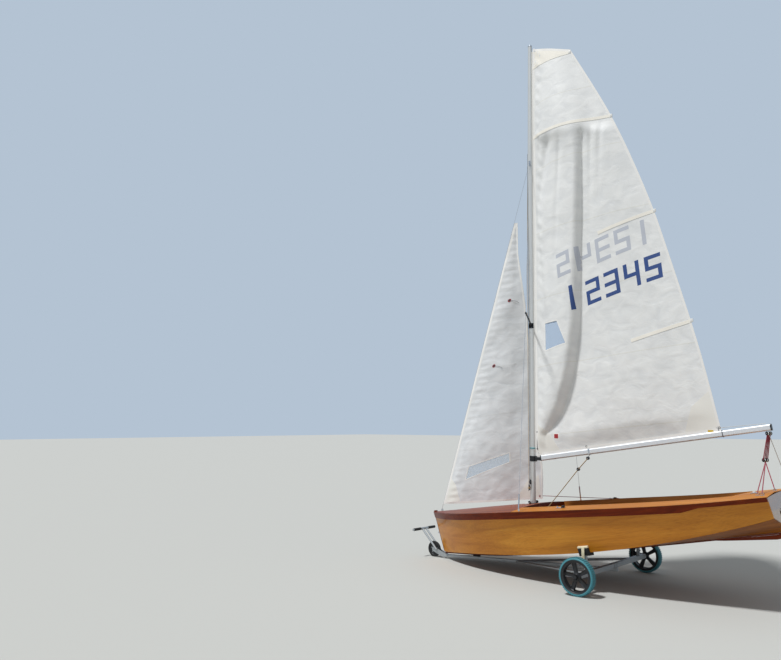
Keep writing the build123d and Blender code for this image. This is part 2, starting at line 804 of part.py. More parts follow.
# Boom's front fitting: an eye on the pin and a plug in the tube
rise = math.radians(boom_rise)
boom_dir = Vector(-math.cos(rise), 0, math.sin(rise))
boom_start = Vector(0, 0, gooseneck_height)
tongue = goose_pin_length - 2 * 10 - 4
with BuildPart() as boom_jaw:
    with BuildSketch(Plane.XY.offset(gooseneck_height - tongue / 2)):
        Circle(goose_eye_r)
        with Locations((-boom_front / 2 + 4, 0)):
            Rectangle(boom_front - 12, 2 * goose_eye_r)
    extrude(amount=tongue)
    cap_start = boom_start + boom_dir * (boom_front - 14)
    with BuildSketch(Plane(origin=cap_start, x_dir=(0, 1, 0), z_dir=boom_dir)):
        RectangleRounded(boom_width, boom_depth, 16)
    extrude(amount=14 - seat_gap)
    with Locations((0, 0, gooseneck_height)):
        Hole(goose_pin_r + pin_clearance, depth=goose_pin_length)
keep("boom_jaw", boom_jaw.part, swing_frame)

# Boom and its end cap
with BuildPart() as boom:
    with BuildSketch(Plane(origin=boom_start + boom_dir * boom_front, x_dir=(0, 1, 0), z_dir=boom_dir)):
        RectangleRounded(boom_width, boom_depth, 16)
    extrude(amount=boom_length - boom_front - 12)
keep("boom", boom.part, swing_frame)
with BuildPart() as boom_end:
    with BuildSketch(
        Plane(origin=boom_start + boom_dir * (boom_length - 12 + seat_gap), x_dir=(0, 1, 0), z_dir=boom_dir)
    ):
        RectangleRounded(boom_width + 2, boom_depth + 2, 16)
    extrude(amount=12)
keep("boom_end", boom_end.part, swing_frame)

# Mainsail, on the boom, with its luff on the swing's axis
with BuildPart() as mainsail:
    for luff, leech, chord, crest_share, crest, fold_share, fold in mainsail_rows:
        turn = math.atan2(leech - luff, chord)
        section = Plane(
            origin=(0, 0, luff),
            x_dir=(-math.cos(turn), 0, math.sin(turn)),
            z_dir=(-math.sin(turn), 0, -math.cos(turn)),
        )
        outline = sail_section(chord / math.cos(turn), crest_share, crest, fold_share, fold)
        with BuildSketch(section):
            add(outline)
    loft()
keep("mainsail", mainsail.part, swing_frame)

# Jib, on the forestay
stay_run = stay_low - stay_high
with BuildPart() as jib:
    for share, chord, turn, crest_share, crest, fold_share, fold in jib_rows:
        turn, climb = math.radians(turn), math.tan(math.radians(jib_foot_rise)) * share
        luff = stay_high + stay_run * share + Vector(-shroud_r - 1.0, 0, 0)
        aft = (-math.cos(turn), -math.sin(turn), climb)
        down = (-climb * math.cos(turn), -climb * math.sin(turn), -1)
        outline = sail_section(chord, crest_share, crest, fold_share, fold)
        with BuildSketch(Plane(origin=luff, x_dir=aft, z_dir=down)):
            add(outline)
    loft()
keep("jib", jib.part)

# Axle: a square beam under the hull with a round pin at each end, and the caps that hold the wheels
beam_half = half_track - hub_width / 2 - running_gap
pin_half = half_track + hub_width / 2 + cap_gap
with BuildPart() as axle:
    with Locations((wheel_x, 0, wheel_r)):
        Box(axle_beam, 2 * beam_half, axle_beam)
    with BuildSketch(Plane.XZ):
        with Locations((wheel_x, wheel_r)):
            Circle(axle_pin_r)
    extrude(amount=pin_half, both=True)
keep("axle", axle.part)
with BuildPart() as axle_caps:
    for y in (1, -1):
        with BuildSketch(Plane.XZ.offset(-y * (pin_half + seat_gap))):
            with Locations((wheel_x, wheel_r)):
                Circle(cap_r)
        extrude(amount=-y * axle_pin_end)
keep("axle_caps", axle_caps.part)

# Cradle pads, rubber blocks that hold the hull at its chines, and the posts under them
trim = math.radians(bow_down)
pad_x = (wheel_x - math.sin(trim) * line_at(wheel_x, CHINE)) / math.cos(trim)
pad_chine_half, pad_chine = line_at(pad_x, CHINE_HALF), line_at(pad_x, CHINE)
pad_slope = (pad_chine - line_at(pad_x, KEEL)) / pad_chine_half
pad_flare = (line_at(pad_x, SHEER_HALF) - pad_chine_half) / (line_at(pad_x, SHEER) - pad_chine)
inner = pad_chine_half - pad_reach
inner_z = line_at(pad_x, KEEL) + pad_slope * inner - pad_gap
upper = pad_chine_half + pad_gap + pad_flare * pad_reach
with BuildPart() as cradle_pads:
    with BuildSketch(Plane.YZ.offset(pad_x)):
        for side, y in sides:
            with BuildLine():
                Polyline(
                    (y * inner, inner_z),
                    (y * (pad_chine_half + pad_gap), pad_chine - pad_gap),
                    (y * upper, pad_chine + pad_reach),
                    (y * (upper + pad_thick), pad_chine + pad_reach - 8),
                    (y * (pad_chine_half + pad_thick), pad_chine - pad_thick),
                    (y * inner, inner_z - pad_thick),
                    close=True,
                )
            make_face()
    extrude(amount=pad_length / 2, both=True)
keep("cradle_pads", cradle_pads.part, hull_frame)
post_y = pad_chine_half - post_size / 6
post_line = line_at(pad_x, KEEL) + pad_slope * (post_y - post_size / 2)
under = hull_point(pad_x, post_y, post_line - pad_gap - pad_thick)
beam_top = wheel_r + axle_beam / 2 + seat_gap
post_top = under.Z - post_size / 2 * math.tan(math.radians(bow_down)) - 2 * curve_gap
with BuildPart() as cradle_posts:
    with Locations(*[(wheel_x, y * post_y, (beam_top + post_top) / 2) for side, y in sides]):
        Box(post_size, post_size, post_top - beam_top)
keep("cradle_posts", cradle_posts.part)

# Drawbar, a square tube from under the axle to the jockey wheel's fork
bar_front_x, bar_front_z = bar_front
bar_top_rear = wheel_r - axle_beam / 2 - seat_gap
bar_slope = (bar_top_rear - bar_size - bar_front_z + bar_size / 2) / (bar_front_x - wheel_x - axle_beam / 2)
bar_rear_x = wheel_x - axle_beam / 2 - 20


def bar_low(x):
    return bar_front_z - bar_size / 2 + (bar_front_x - x) * bar_slope


with BuildPart() as drawbar:
    with BuildSketch(Plane.XZ):
        with BuildLine():
            Polyline(
                (bar_rear_x, bar_low(bar_rear_x) - 2),
                (bar_front_x, bar_low(bar_front_x)),
                (bar_front_x, bar_low(bar_front_x) + bar_size),
                (bar_rear_x, bar_low(bar_rear_x) - 2 + bar_size),
                close=True,
            )
        make_face()
    extrude(amount=bar_size / 2, both=True)
keep("drawbar", drawbar.part)

# Braces from the axle's ends to the drawbar
for side, y in sides:
    bar_z = bar_low(brace_to_x) + bar_size / 2
    lean = math.atan2(brace_from - bar_size / 2, brace_to_x - wheel_x)
    start_x = wheel_x + axle_beam / 2 + seat_gap + brace_size / 2 * math.sin(lean) + 1
    start = (start_x, y * brace_from, wheel_r - 8)
    end = (brace_to_x, y * (bar_size / 2 + seat_gap + brace_size / 2 * math.cos(lean)), bar_z)
    keep(f"brace_{side}", rod(start, end, brace_size / 2))

# Bow chock between the drawbar and the keel strip
with BuildPart() as bow_chock:
    with BuildSketch(Plane.XZ):
        with BuildLine():
            ends = (chock_x - chock_length / 2, chock_x + chock_length / 2)
            tops = []
            for x in ends:
                hull_x = (x - math.sin(trim) * 40) / math.cos(trim)
                tops.append(hull_point(hull_x, 0, line_at(hull_x, KEEL) - keel_strip_depth - 1.0).Z)
            lows = [bar_low(x) + bar_size + seat_gap for x in ends]
            corners = [(ends[0], lows[0]), (ends[1], lows[1]), (ends[1], tops[1]), (ends[0], tops[0])]
            Polyline(*corners, close=True)
        make_face()
    extrude(amount=bar_size / 2, both=True)
keep("bow_chock", bow_chock.part)

# Jockey wheel's fork: two plates on the drawbar's sides and the wheel's pin
with BuildPart() as jockey_fork:
    for y in (1, -1):
        near = bar_size / 2 + seat_gap
        with BuildSketch(Plane.XZ.offset(-y * near)):
            with BuildLine():
                Polyline(
                    (bar_front_x - 60, bar_low(bar_front_x - 60) + 4),
                    (bar_front_x - 60, bar_low(bar_front_x - 60) + bar_size - 4),
                    (jockey_x - 30, jockey_r + 22),
                    (jockey_x + 18, jockey_r + 22),
                    (jockey_x + 18, jockey_r - 20),
                    (bar_front_x + 20, bar_low(bar_front_x) + 4),
                    close=True,
                )
            make_face()
        extrude(amount=-y * fork_plate)
    with BuildSketch(Plane.XZ):
        with Locations((jockey_x, jockey_r)):
            Circle(jockey_bore_r)
    extrude(amount=bar_size / 2 + seat_gap + fork_plate + 4, both=True)
keep("jockey_fork", jockey_fork.part)

# Jockey wheel
with BuildPart() as jockey_wheel:
    with BuildSketch(Plane.XZ):
        Circle(jockey_r)
    extrude(amount=jockey_width / 2, both=True)
    fillet(jockey_wheel.edges().filter_by(GeomType.CIRCLE), radius=6)
    with BuildSketch(Plane.XZ):
        Circle(jockey_bore_r + pin_clearance)
    extrude(amount=jockey_width, both=True, mode=Mode.SUBTRACT)
keep("jockey_wheel", jockey_wheel.part, Location((jockey_x, 0, jockey_r)))

# Tow handle: two arms from the fork and a cross bar with a thicker grip at each end
arm_y = bar_size / 2 + fork_plate + 2 * seat_gap + handle_r * 0.8 + 0.2
handle_x, handle_z = handle_rise
runs = [
    rod((jockey_x - 60, y * arm_y, jockey_r), (handle_x, y * arm_y, handle_z), handle_r * 0.8)
    for side, y in sides
]
runs.append(rod((handle_x, -handle_half, handle_z), (handle_x, handle_half, handle_z), handle_r))
for side, y in sides:
    grip_start = (handle_x, y * (handle_half - grip_length), handle_z)
    runs.append(rod(grip_start, (handle_x, y * handle_half, handle_z), grip_r))
with BuildPart() as tow_handle:
    add(runs)
keep("tow_handle", tow_handle.part)

# Launching wheels: a five-spoked moulded wheel and its tyre, each side
with BuildPart() as wheel:
    with BuildSketch(Plane.XZ):
        Circle(rim_r)
        Circle(rim_r - rim_wall, mode=Mode.SUBTRACT)
        Circle(hub_r)
    extrude(amount=hub_width / 2, both=True)
    with BuildSketch(Plane.XZ):
        with PolarLocations((hub_r + rim_r - rim_wall) / 2, spoke_count, start_angle=90):
            Rectangle(rim_r - rim_wall - hub_r + 10, spoke_width)
    extrude(amount=spoke_thick / 2, both=True)
    with BuildSketch(Plane.XZ):
        Circle(axle_pin_r + pin_clearance)
    extrude(amount=hub_width, both=True, mode=Mode.SUBTRACT)
with BuildPart() as tyre:
    with BuildSketch(Plane.XY):
        with BuildLine():
            bead, shoulder, half = rim_r + seat_gap, rim_r + 14, tyre_width / 2
            Polyline((shoulder, -half), (bead, -hub_width / 2), (bead, hub_width / 2), (shoulder, half))
            ThreePointArc((shoulder, half), (wheel_r - 6, half - 8), (wheel_r - 1, half / 2))
            ThreePointArc((wheel_r - 1, half / 2), (wheel_r, 0), (wheel_r - 1, -half / 2))
            ThreePointArc((wheel_r - 1, -half / 2), (wheel_r - 6, 8 - half), (shoulder, -half))
        make_face()
    revolve(axis=Axis.Y)
for side, y in sides:
    keep(f"wheel_{side}", wheel.part, Location((wheel_x, y * half_track, wheel_r)))
    keep(f"tyre_{side}", tyre.part, Location((wheel_x, y * half_track, wheel_r)))

# The origin is on the floor, under the middle of the whole
box = Compound(children=[piece.moved(world_frame) for piece in pieces.values()]).bounding_box()
origin = Location((-(box.min.X + box.max.X) / 2, -(box.min.Y + box.max.Y) / 2, 0))
for name, piece in pieces.items():
    placed = piece.moved(origin)
    placed.label = name
    export_step(placed, f"parts/{name}.step")

swing = origin * swing_frame * Location((0, 0, gooseneck_height))
print("box", box.size, "origin shift", origin.position)
print("wheel axle", (origin * Location((wheel_x, half_track, wheel_r))).position)
print("jockey axle", (origin * Location((jockey_x, 0, jockey_r))).position)
print("boom swing", swing.position, "axis", (mast_point(0, 0, 1) - mast_point(0, 0, 0)))
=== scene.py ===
import bpy
import math
from mathutils import Matrix, Vector, noise


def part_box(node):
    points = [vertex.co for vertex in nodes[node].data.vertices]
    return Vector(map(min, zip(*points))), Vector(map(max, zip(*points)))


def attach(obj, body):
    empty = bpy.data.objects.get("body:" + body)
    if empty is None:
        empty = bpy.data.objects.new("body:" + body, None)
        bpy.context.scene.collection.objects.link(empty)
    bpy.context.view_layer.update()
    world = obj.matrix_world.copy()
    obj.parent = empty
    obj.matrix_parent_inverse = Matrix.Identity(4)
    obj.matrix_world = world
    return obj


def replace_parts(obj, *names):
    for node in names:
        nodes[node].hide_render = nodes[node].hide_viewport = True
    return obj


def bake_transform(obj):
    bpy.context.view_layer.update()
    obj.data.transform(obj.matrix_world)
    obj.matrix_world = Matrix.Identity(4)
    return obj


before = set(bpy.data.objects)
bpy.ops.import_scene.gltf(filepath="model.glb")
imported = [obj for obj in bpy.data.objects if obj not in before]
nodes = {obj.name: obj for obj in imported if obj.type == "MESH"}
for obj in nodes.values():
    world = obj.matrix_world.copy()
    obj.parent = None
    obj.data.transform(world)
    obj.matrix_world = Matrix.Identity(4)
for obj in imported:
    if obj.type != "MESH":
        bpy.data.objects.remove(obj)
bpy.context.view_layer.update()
print("frame loaded")

# Where the hull, the mast and the boom's swing stand in the frame, in metres and degrees
hullPlace = {"shift": -2.14526, "keelHeight": 0.628, "bowDown": 9.28}
mastPlace = {"x": 2.688, "z": 0.723, "rake": 0.974}
boomPlace = {"luffOffset": 0.048, "turn": 4.95, "gooseneck": 0.527, "rise": 9.4}
rootBody, boomBody = "hull_and_trolley", "boom_and_mainsail"
acrossY, alongZ = Vector((0, 1, 0)), Vector((0, 0, 1))
shipSides = ((1, "port"), (-1, "starboard"))


def turned(degrees, axis):
    return Matrix.Rotation(math.radians(degrees), 4, axis)


hullFrame = Matrix.Translation((hullPlace["shift"], 0, hullPlace["keelHeight"])) @ turned(hullPlace["bowDown"], "Y")
mastFoot = Matrix.Translation((mastPlace["x"] + hullPlace["shift"], 0, mastPlace["z"]))
mastFrame = mastFoot @ turned(-mastPlace["rake"], "Y")
swingFrame = mastFrame @ Matrix.Translation((-boomPlace["luffOffset"], 0, 0)) @ turned(boomPlace["turn"], "Z")
boomFrame = swingFrame @ Matrix.Translation((0, 0, boomPlace["gooseneck"])) @ turned(boomPlace["rise"], "Y")


# Points on the hull and the mast have x forward, points on the swing and the boom x aft
def inFrame(place, ahead):
    return lambda x, y, z: place @ Vector((ahead * x, y, z))


onHull, onMast = inFrame(hullFrame, 1), inFrame(mastFrame, 1)
onSwing, onBoom = inFrame(swingFrame, -1), inFrame(boomFrame, -1)


# One sRGB hex colour as linear red, green, blue and alpha
def linear(hexColour):
    parts = [int(hexColour[k:k + 2], 16) / 255 for k in (1, 3, 5)]
    return [c / 12.92 if c < 0.04045 else ((c + 0.055) / 1.055) ** 2.4 for c in parts] + [1.0]


# A shader node with its settings; what goes into its sockets is a socket, a number or a hex colour
def addNode(tree, kind, settings=None, links=None):
    made = tree.nodes.new("ShaderNode" + kind)
    for name, value in (settings or {}).items():
        setattr(made, name, value)
    for name, value in (links or {}).items():
        if isinstance(value, bpy.types.NodeSocket):
            tree.links.new(value, made.inputs[name])
        else:
            made.inputs[name].default_value = linear(value) if isinstance(value, str) else value
    return made


# A material with one Principled shader, and its tree
def newFinish(name, slot, colour, roughness, metallic=0.0, **more):
    finish = bpy.data.materials.new(name)
    finish.use_nodes = True
    tree = finish.node_tree
    shader = tree.nodes["Principled BSDF"]
    given = {"Base_Color": linear(colour), "Roughness": roughness, "Metallic": metallic, **more}
    for socket, value in given.items():
        shader.inputs[socket.replace("_", " ")].default_value = value
    return finish, tree, shader


# Coordinates in metres times scale, turned about Y to lie along the hull
def patternSpace(tree, scale, turn=0.0):
    where = addNode(tree, "TexCoord").outputs["Object"]
    level = addNode(tree, "Mapping", {}, {"Vector": where, "Rotation": (0, math.radians(turn), 0)})
    return addNode(tree, "Mapping", {}, {"Vector": level.outputs["Vector"], "Scale": scale}).outputs["Vector"]


def pattern(tree, space, detail=2.0, **more):
    return addNode(tree, "TexNoise", {}, {"Vector": space, "Scale": 1.0, "Detail": detail, **more}).outputs["Fac"]


def bands(tree, direction, **links):
    return addNode(tree, "TexWave", {"wave_type": "BANDS", "bands_direction": direction}, links).outputs["Fac"]


def calc(tree, operation, *values):
    return addNode(tree, "Math", {"operation": operation}, dict(enumerate(values))).outputs[0]


def ramp(tree, factor, stops):
    made = addNode(tree, "ValToRGB", {}, {"Fac": factor})
    line = made.color_ramp
    while len(line.elements) < len(stops):
        line.elements.new(0.5)
    for element, (place, colour) in zip(line.elements, stops):
        element.position = place
        element.color = linear(colour)
    return made.outputs["Color"]


def mixed(tree, factor, first, second, blend="MIX"):
    sockets = {0: factor, 6: first, 7: second}
    return addNode(tree, "Mix", {"data_type": "RGBA", "blend_type": blend}, sockets).outputs[2]


# The base colour goes over to another where a pattern rises from low to high; most is how far, as a grey
def stained(tree, shader, height, low, high, most, colour, other):
    share = ramp(tree, height, [(low, "#000000"), (high, most)])
    tree.links.new(mixed(tree, share, colour, other), shader.inputs["Base Color"])


def bump(tree, shader, height, strength, distance, under=None):
    links = {"Height": height, "Strength": strength, "Distance": distance}
    if under:
        links["Normal"] = under
    made = addNode(tree, "Bump", {}, links).outputs["Normal"]
    tree.links.new(made, shader.inputs["Normal"])
    return made


# Clear-varnished wood: long streaks along the boat, soft broad figure, fine pores, and a smooth hard coat over it
def varnishedWood(name, slot, colours, ends, figure, pore, roughness=0.32, coat=0.6, coatRough=0.06, gloss=0.4):
    finish, tree, shader = newFinish(name, slot, colours[0], roughness, Coat_Weight=coat, Coat_Roughness=coatRough,
                                     Specular_IOR_Level=gloss)
    level = -hullPlace["bowDown"]
    streaks = pattern(tree, patternSpace(tree, figure, level), 5.0, Roughness=0.6, Distortion=0.7)
    broad = pattern(tree, patternSpace(tree, (0.9, 0.8, 1.6), level))
    pores = pattern(tree, patternSpace(tree, pore, level))
    tone = ramp(tree, streaks, list(zip((0.3, *ends), colours)))
    cast = ramp(tree, broad, [(0.35, "#dfc9a4"), (0.6, "#ffffff")])
    specks = ramp(tree, pores, [(0.36, "#9a7448"), (0.52, "#ffffff")])
    figured = mixed(tree, 0.6, tone, cast, "MULTIPLY")
    tree.links.new(mixed(tree, 0.2, figured, specks, "MULTIPLY"), shader.inputs["Base Color"])
    bump(tree, shader, pores, 0.10, 0.0006)
    return finish


plyGrain, deckGrain = ((0.7, 5, 12), (5, 150, 150)), ((0.8, 14, 5), (6, 170, 100))
honeyPly = varnishedWood("varnishedPlywood", "varnished_ply", ("#bb7718", "#cf8924", "#dc9932"), (0.5, 0.72),
                         *plyGrain, roughness=0.4, coat=0.3, gloss=0.2)                  # golden rotary-cut veneer
transomPly = varnishedWood("freshVarnishedPlywood", "varnished_ply", ("#8a5f28", "#9a6b2e", "#a97a3a"), (0.5, 0.72),
                           *plyGrain, roughness=0.2, coat=1.0, coatRough=0.03, gloss=0.6)
sideDeckPly = varnishedWood("varnishedSideDeckPlywood", "varnished_deck", ("#ae6c1e", "#be7c26", "#cc8c34"),
                            (0.5, 0.7), *deckGrain, roughness=0.5, coat=0.1, coatRough=0.3, gloss=0.1)
# The foredeck ply is redder and darker than the side decks'; part of its darkness is painted shade for the jib's shadow
# over it
foreDeckPly = varnishedWood("varnishedForedeckPlywood", "varnished_deck", ("#6a2e12", "#813c18", "#944a20"),
                            (0.5, 0.7), *deckGrain, roughness=0.45, coat=0.15, coatRough=0.25, gloss=0.25)
mahogany = varnishedWood("varnishedMahogany", "hardwood", ("#561b04", "#702808", "#88370e"), (0.52, 0.75),
                         (1.2, 30, 30), (9, 260, 260), coat=0.08, coatRough=0.15, gloss=0.1)     # red-brown, fine pores
bottomPly = varnishedWood("varnishedBottomPlywood", "bottom_ply", ("#74400f", "#915518", "#a66722"), (0.5, 0.72),
                          (0.7, 6, 6), (5, 150, 150), roughness=0.4, coat=0.1, coatRough=0.15, gloss=0.2)
innerPly = varnishedWood("satinInnerPlywood", "inner_ply", ("#a8662a", "#bd7a36", "#cb8c48"), (0.5, 0.7),
                         (0.8, 9, 9), (6, 160, 160), roughness=0.45, coat=0.3)
teakSlats = varnishedWood("oiledHardwood", "hardwood", ("#7a4a24", "#8f5b2f", "#a26d3b"), (0.5, 0.75),
                          (1.2, 24, 24), (9, 220, 220), roughness=0.55, coat=0.1)


# Metal with a fine drawn or cast grain, and duller patches where hands and weather have been
def metalFinish(name, slot, colour, roughness, grain, strength=0.1, worn="#8e9196", metallic=1.0):
    finish, tree, shader = newFinish(name, slot, colour, roughness, metallic)
    drawn = pattern(tree, patternSpace(tree, grain), 3.0)
    cloudy = pattern(tree, patternSpace(tree, (9, 9, 4)), 4.0)
    stained(tree, shader, cloudy, 0.45, 0.75, "#606060", colour, worn)
    rough = addNode(tree, "MapRange", {}, {"Value": drawn, "To Min": roughness - 0.07, "To Max": roughness + 0.14})
    tree.links.new(rough.outputs["Result"], shader.inputs["Roughness"])
    bump(tree, shader, drawn, strength, 0.0003)
    return finish


# The mast is drawn along the spar and milky from its oxide film; the boom is satin anodised and nearly white, its
# whiteness partly a painted highlight for the sun's glare along its side
anodised = metalFinish("anodisedAluminium", "mast_aluminium", "#d6d6d3", 0.38, (400, 400, 3), 0.25, "#a9aaa8", 0.55)
boomAlloy = metalFinish("satinAnodisedAluminium", "mast_aluminium", "#e4e6e8", 0.40, (3, 400, 400), 0.2, "#b9bcc0", 0.5)
darkAnodised = metalFinish("darkAnodisedAluminium", "mast_aluminium", "#2b2d30", 0.4, (300,) * 3, worn="#3c3e42")
stainless = metalFinish("polishedStainless", "stainless_steel", "#c9cbce", 0.22, (300,) * 3)
galvanised = metalFinish("galvanisedSteel", "galvanised_steel", "#b3b7b8", 0.5, (60,) * 3, 0.35, "#8b8f91", 0.8)


# Moulded plastic or rubber: an even colour, a fine moulded grit and a little dust
def mouldedPlastic(name, slot, colour, roughness, grit=900, strength=0.12, dust="#8d8a84"):
    finish, tree, shader = newFinish(name, slot, colour, roughness)
    stained(tree, shader, pattern(tree, patternSpace(tree, (14, 14, 14)), 5.0), 0.5, 0.8, "#333333", colour, dust)
    bump(tree, shader, pattern(tree, patternSpace(tree, (grit, grit, grit))), strength, 0.0004)
    return finish


blackPlastic = mouldedPlastic("mouldedBlackNylon", "black_plastic", "#17181b", 0.42)
tealRubber = mouldedPlastic("mouldedTealRubber", "teal_rubber", "#448894", 0.62, 700, 0.2)
blackRubber = mouldedPlastic("mouldedBlackRubber", "pad_rubber", "#1c1c1d", 0.75, 600, 0.25)
creamPad = mouldedPlastic("mouldedCreamPolyethylene", "pad_rubber", "#d6cdb0", 0.55, 300, 0.2, "#8f8570")
whitePlastic = mouldedPlastic("mouldedWhiteAcetal", "black_plastic", "#dfe0de", 0.4)


# Braided polyester: slanting strands with a few flecks
def ropeFinish(name, colour, fleck, pitch=0.012):
    finish, tree, shader = newFinish(name, "sailcloth", colour, 0.8, Sheen_Weight=0.25)
    space = patternSpace(tree, (1 / pitch,) * 3)
    strands = bands(tree, "DIAGONAL", Vector=space, Scale=1.6, Distortion=2.0, Detail=1.0)
    stained(tree, shader, strands, 0.55, 0.8, "#9a9a9a", colour, fleck)
    bump(tree, shader, strands, 0.5, 0.001)
    return finish


maroonRope = ropeFinish("maroonBraidedRope", "#96243a", "#501222")
whiteRope = ropeFinish("whiteBraidedRope", "#cfcdc6", "#8d9096")
beigeRope = ropeFinish("beigeBraidedRope", "#c4ab80", "#7c6848")
darkRope = ropeFinish("darkBraidedRope", "#33363d", "#9aa0a8")
tealRope = ropeFinish("tealBraidedRope", "#2a9aa5", "#d3dbda")
greyWebbing = ropeFinish("wovenGreyWebbing", "#4a4d52", "#2d2f33", 0.004)


# Woven polyester sailcloth: crinkled, its threads coarser than real to show, with panel seams, read from the flat cut
def sailFinish(name, colour, shade, slope, every, seamColour, seamWidth=0.012, threadPitch=0.0022):
    finish, tree, shader = newFinish(name, "sailcloth", colour, 0.62, Sheen_Weight=0.06)
    flat = addNode(tree, "UVMap", {"uv_map": "cloth"}).outputs["UV"]
    axes = addNode(tree, "SeparateXYZ", {}, {"Vector": flat}).outputs
    wide = addNode(tree, "Mapping", {}, {"Vector": flat, "Scale": (6, 8, 1)}).outputs["Vector"]
    crinkle = pattern(tree, wide, 5.0, Roughness=0.5, Distortion=0.6)
    threads = bands(tree, "Y", Vector=flat, Scale=1 / (threadPitch * 6.283))
    panel = calc(tree, "PINGPONG", calc(tree, "MULTIPLY_ADD", axes["X"], slope, axes["Y"]), every / 2)
    seam = calc(tree, "LESS_THAN", panel, seamWidth / 2)
    # The crinkle's hollows are painted towards the darker colour: painted shade in the creases of the cloth
    tone = ramp(tree, crinkle, [(0.25, shade), (0.6, colour)])
    tree.links.new(mixed(tree, calc(tree, "MULTIPLY", seam, 0.35), tone, seamColour), shader.inputs["Base Color"])
    woven = bump(tree, shader, threads, 0.05, 0.0005)
    bump(tree, shader, seam, 0.3, 0.001, bump(tree, shader, crinkle, 0.30, 0.020, woven))
    return finish


mainCloth = sailFinish("wovenSailclothMain", "#e7e8e7", "#dadcdd", -0.12, 0.78, "#d9d7cb")
# The jib's cloth is a little darker and bluer than the mainsail's: painted shade for the shade the jib hangs in
jibCloth = sailFinish("wovenSailclothJib", "#dfe1e3", "#d0d3d6", 0.05, 0.62, "#cfd0ce")


# Stitched-on sailcloth or tape: the same stiff weave, in one colour with slight soiling
def plainCloth(name, colour):
    finish, tree, shader = newFinish(name, "sailcloth", colour, 0.65, Sheen_Weight=0.06)
    soil = pattern(tree, patternSpace(tree, (5, 5, 9)), 5.0)
    stained(tree, shader, soil, 0.4, 0.8, "#3a3a3a", colour, "#bdb8ab")
    bump(tree, shader, pattern(tree, patternSpace(tree, (500, 500, 500))), 0.12, 0.0004)
    return finish


creamCloth = plainCloth("creamStitchedCloth", "#f1ede3")
patchCloth = plainCloth("whiteReinforcingCloth", "#e7e6e0")
whiteTape = plainCloth("whiteStitchedTape", "#ecebe8")
blueInk = plainCloth("blueStitchedCloth", "#2b4a86")
# Pale grey painted shade of the far face's digits showing through the cloth, not a real cloth or ink
showThroughShade = plainCloth("paleShowThroughCloth", "#bbc0ca")
redTape = plainCloth("redStitchedCloth", "#a3242c")
yellowTape = plainCloth("yellowTape", "#d0ae3c")

# Clear soft window film: mostly see-through, with a blue-grey gloss
windowFilm, tree, shader = newFinish("clearWindowFilm", "sailcloth", "#b4c8e0", 0.08, Alpha=0.34, Coat_Weight=0.5)
bump(tree, shader, pattern(tree, patternSpace(tree, (18, 18, 18))), 0.2, 0.004)
print("finishes made")


def flatPoint(x, z):
    return Vector((x, 0, z))


def pick(piece):
    bpy.ops.object.select_all(action="DESELECT")
    piece.select_set(True)
    bpy.context.view_layer.objects.active = piece


# Names the object just added, and puts its place, turn and size in its mesh
def settled(name, size=(1, 1, 1)):
    piece = bpy.context.object
    piece.name = name
    piece.scale = size
    pick(piece)
    bpy.ops.object.transform_apply(location=True, rotation=True, scale=True)
    return piece


# Adds one modifier and applies it
def carve(piece, kind, **settings):
    pick(piece)
    made = piece.modifiers.new(kind.title(), kind)
    for name, value in settings.items():
        setattr(made, name, value)
    bpy.ops.object.modifier_apply(modifier=made.name)
    return piece


def smoothed(piece, angle=35):
    pick(piece)
    bpy.ops.object.shade_smooth_by_angle(angle=math.radians(angle))
    return piece


def softened(piece, width, angle=35):
    carve(piece, "BEVEL", width=width, segments=2, limit_method="ANGLE", angle_limit=math.radians(angle))
    return smoothed(piece, angle)


# Runs edit-mode steps on the faces that the test picks, or on everything
def edited(piece, steps, test=None):
    pick(piece)
    bpy.ops.object.mode_set(mode="EDIT")
    bpy.ops.mesh.select_mode(type="FACE")
    bpy.ops.mesh.select_all(action="DESELECT" if test else "SELECT")
    if test:
        bpy.ops.object.mode_set(mode="OBJECT")
        for face in piece.data.polygons:
            face.select = bool(test(face))
        bpy.ops.object.mode_set(mode="EDIT")
    steps()
    bpy.ops.object.mode_set(mode="OBJECT")
    return piece


def block(name, size, place, edge=0.0):
    bpy.ops.mesh.primitive_cube_add(size=1, location=place)
    piece = settled(name, size)
    return softened(piece, edge) if edge else piece


def turnTo(along):
    return Vector(along).normalized().to_track_quat("Z", "Y").to_euler()


# A turned piece: a cylinder or a cone whose middle is at place
def barrel(name, radius, length, place, along=alongZ, sides=28, edge=0.0, top=None):
    bpy.ops.mesh.primitive_cone_add(vertices=sides, radius1=radius, radius2=radius if top is None else top,
                                    depth=length, location=place, rotation=turnTo(along))
    piece = settled(name)
    return softened(piece, edge) if edge else smoothed(piece)


def ring(name, radius, wire, place, along=alongZ, sides=20, rounds=8):
    bpy.ops.mesh.primitive_torus_add(major_radius=radius, minor_radius=wire, major_segments=sides,
                                     minor_segments=rounds, location=place, rotation=turnTo(along))
    return smoothed(settled(name))


# A closed outline of (place along the axle, radius), spun about the Y axis
def spun(name, outline, steps):
    bpy.ops.mesh.primitive_circle_add(vertices=len(outline), radius=1)
    piece = settled(name)
    for vertex, (along, radius) in zip(piece.data.vertices, outline):
        vertex.co = (radius, along, 0)
    bpy.ops.object.mode_set(mode="EDIT")
    bpy.ops.mesh.select_all(action="SELECT")
    bpy.ops.mesh.spin(steps=steps, angle=2 * math.pi, center=(0, 0, 0), axis=(0, 1, 0))
    bpy.ops.mesh.select_all(action="SELECT")
    bpy.ops.mesh.remove_doubles(threshold=0.00002)
    bpy.ops.mesh.normals_make_consistent(inside=False)
    bpy.ops.object.mode_set(mode="OBJECT")
    return piece


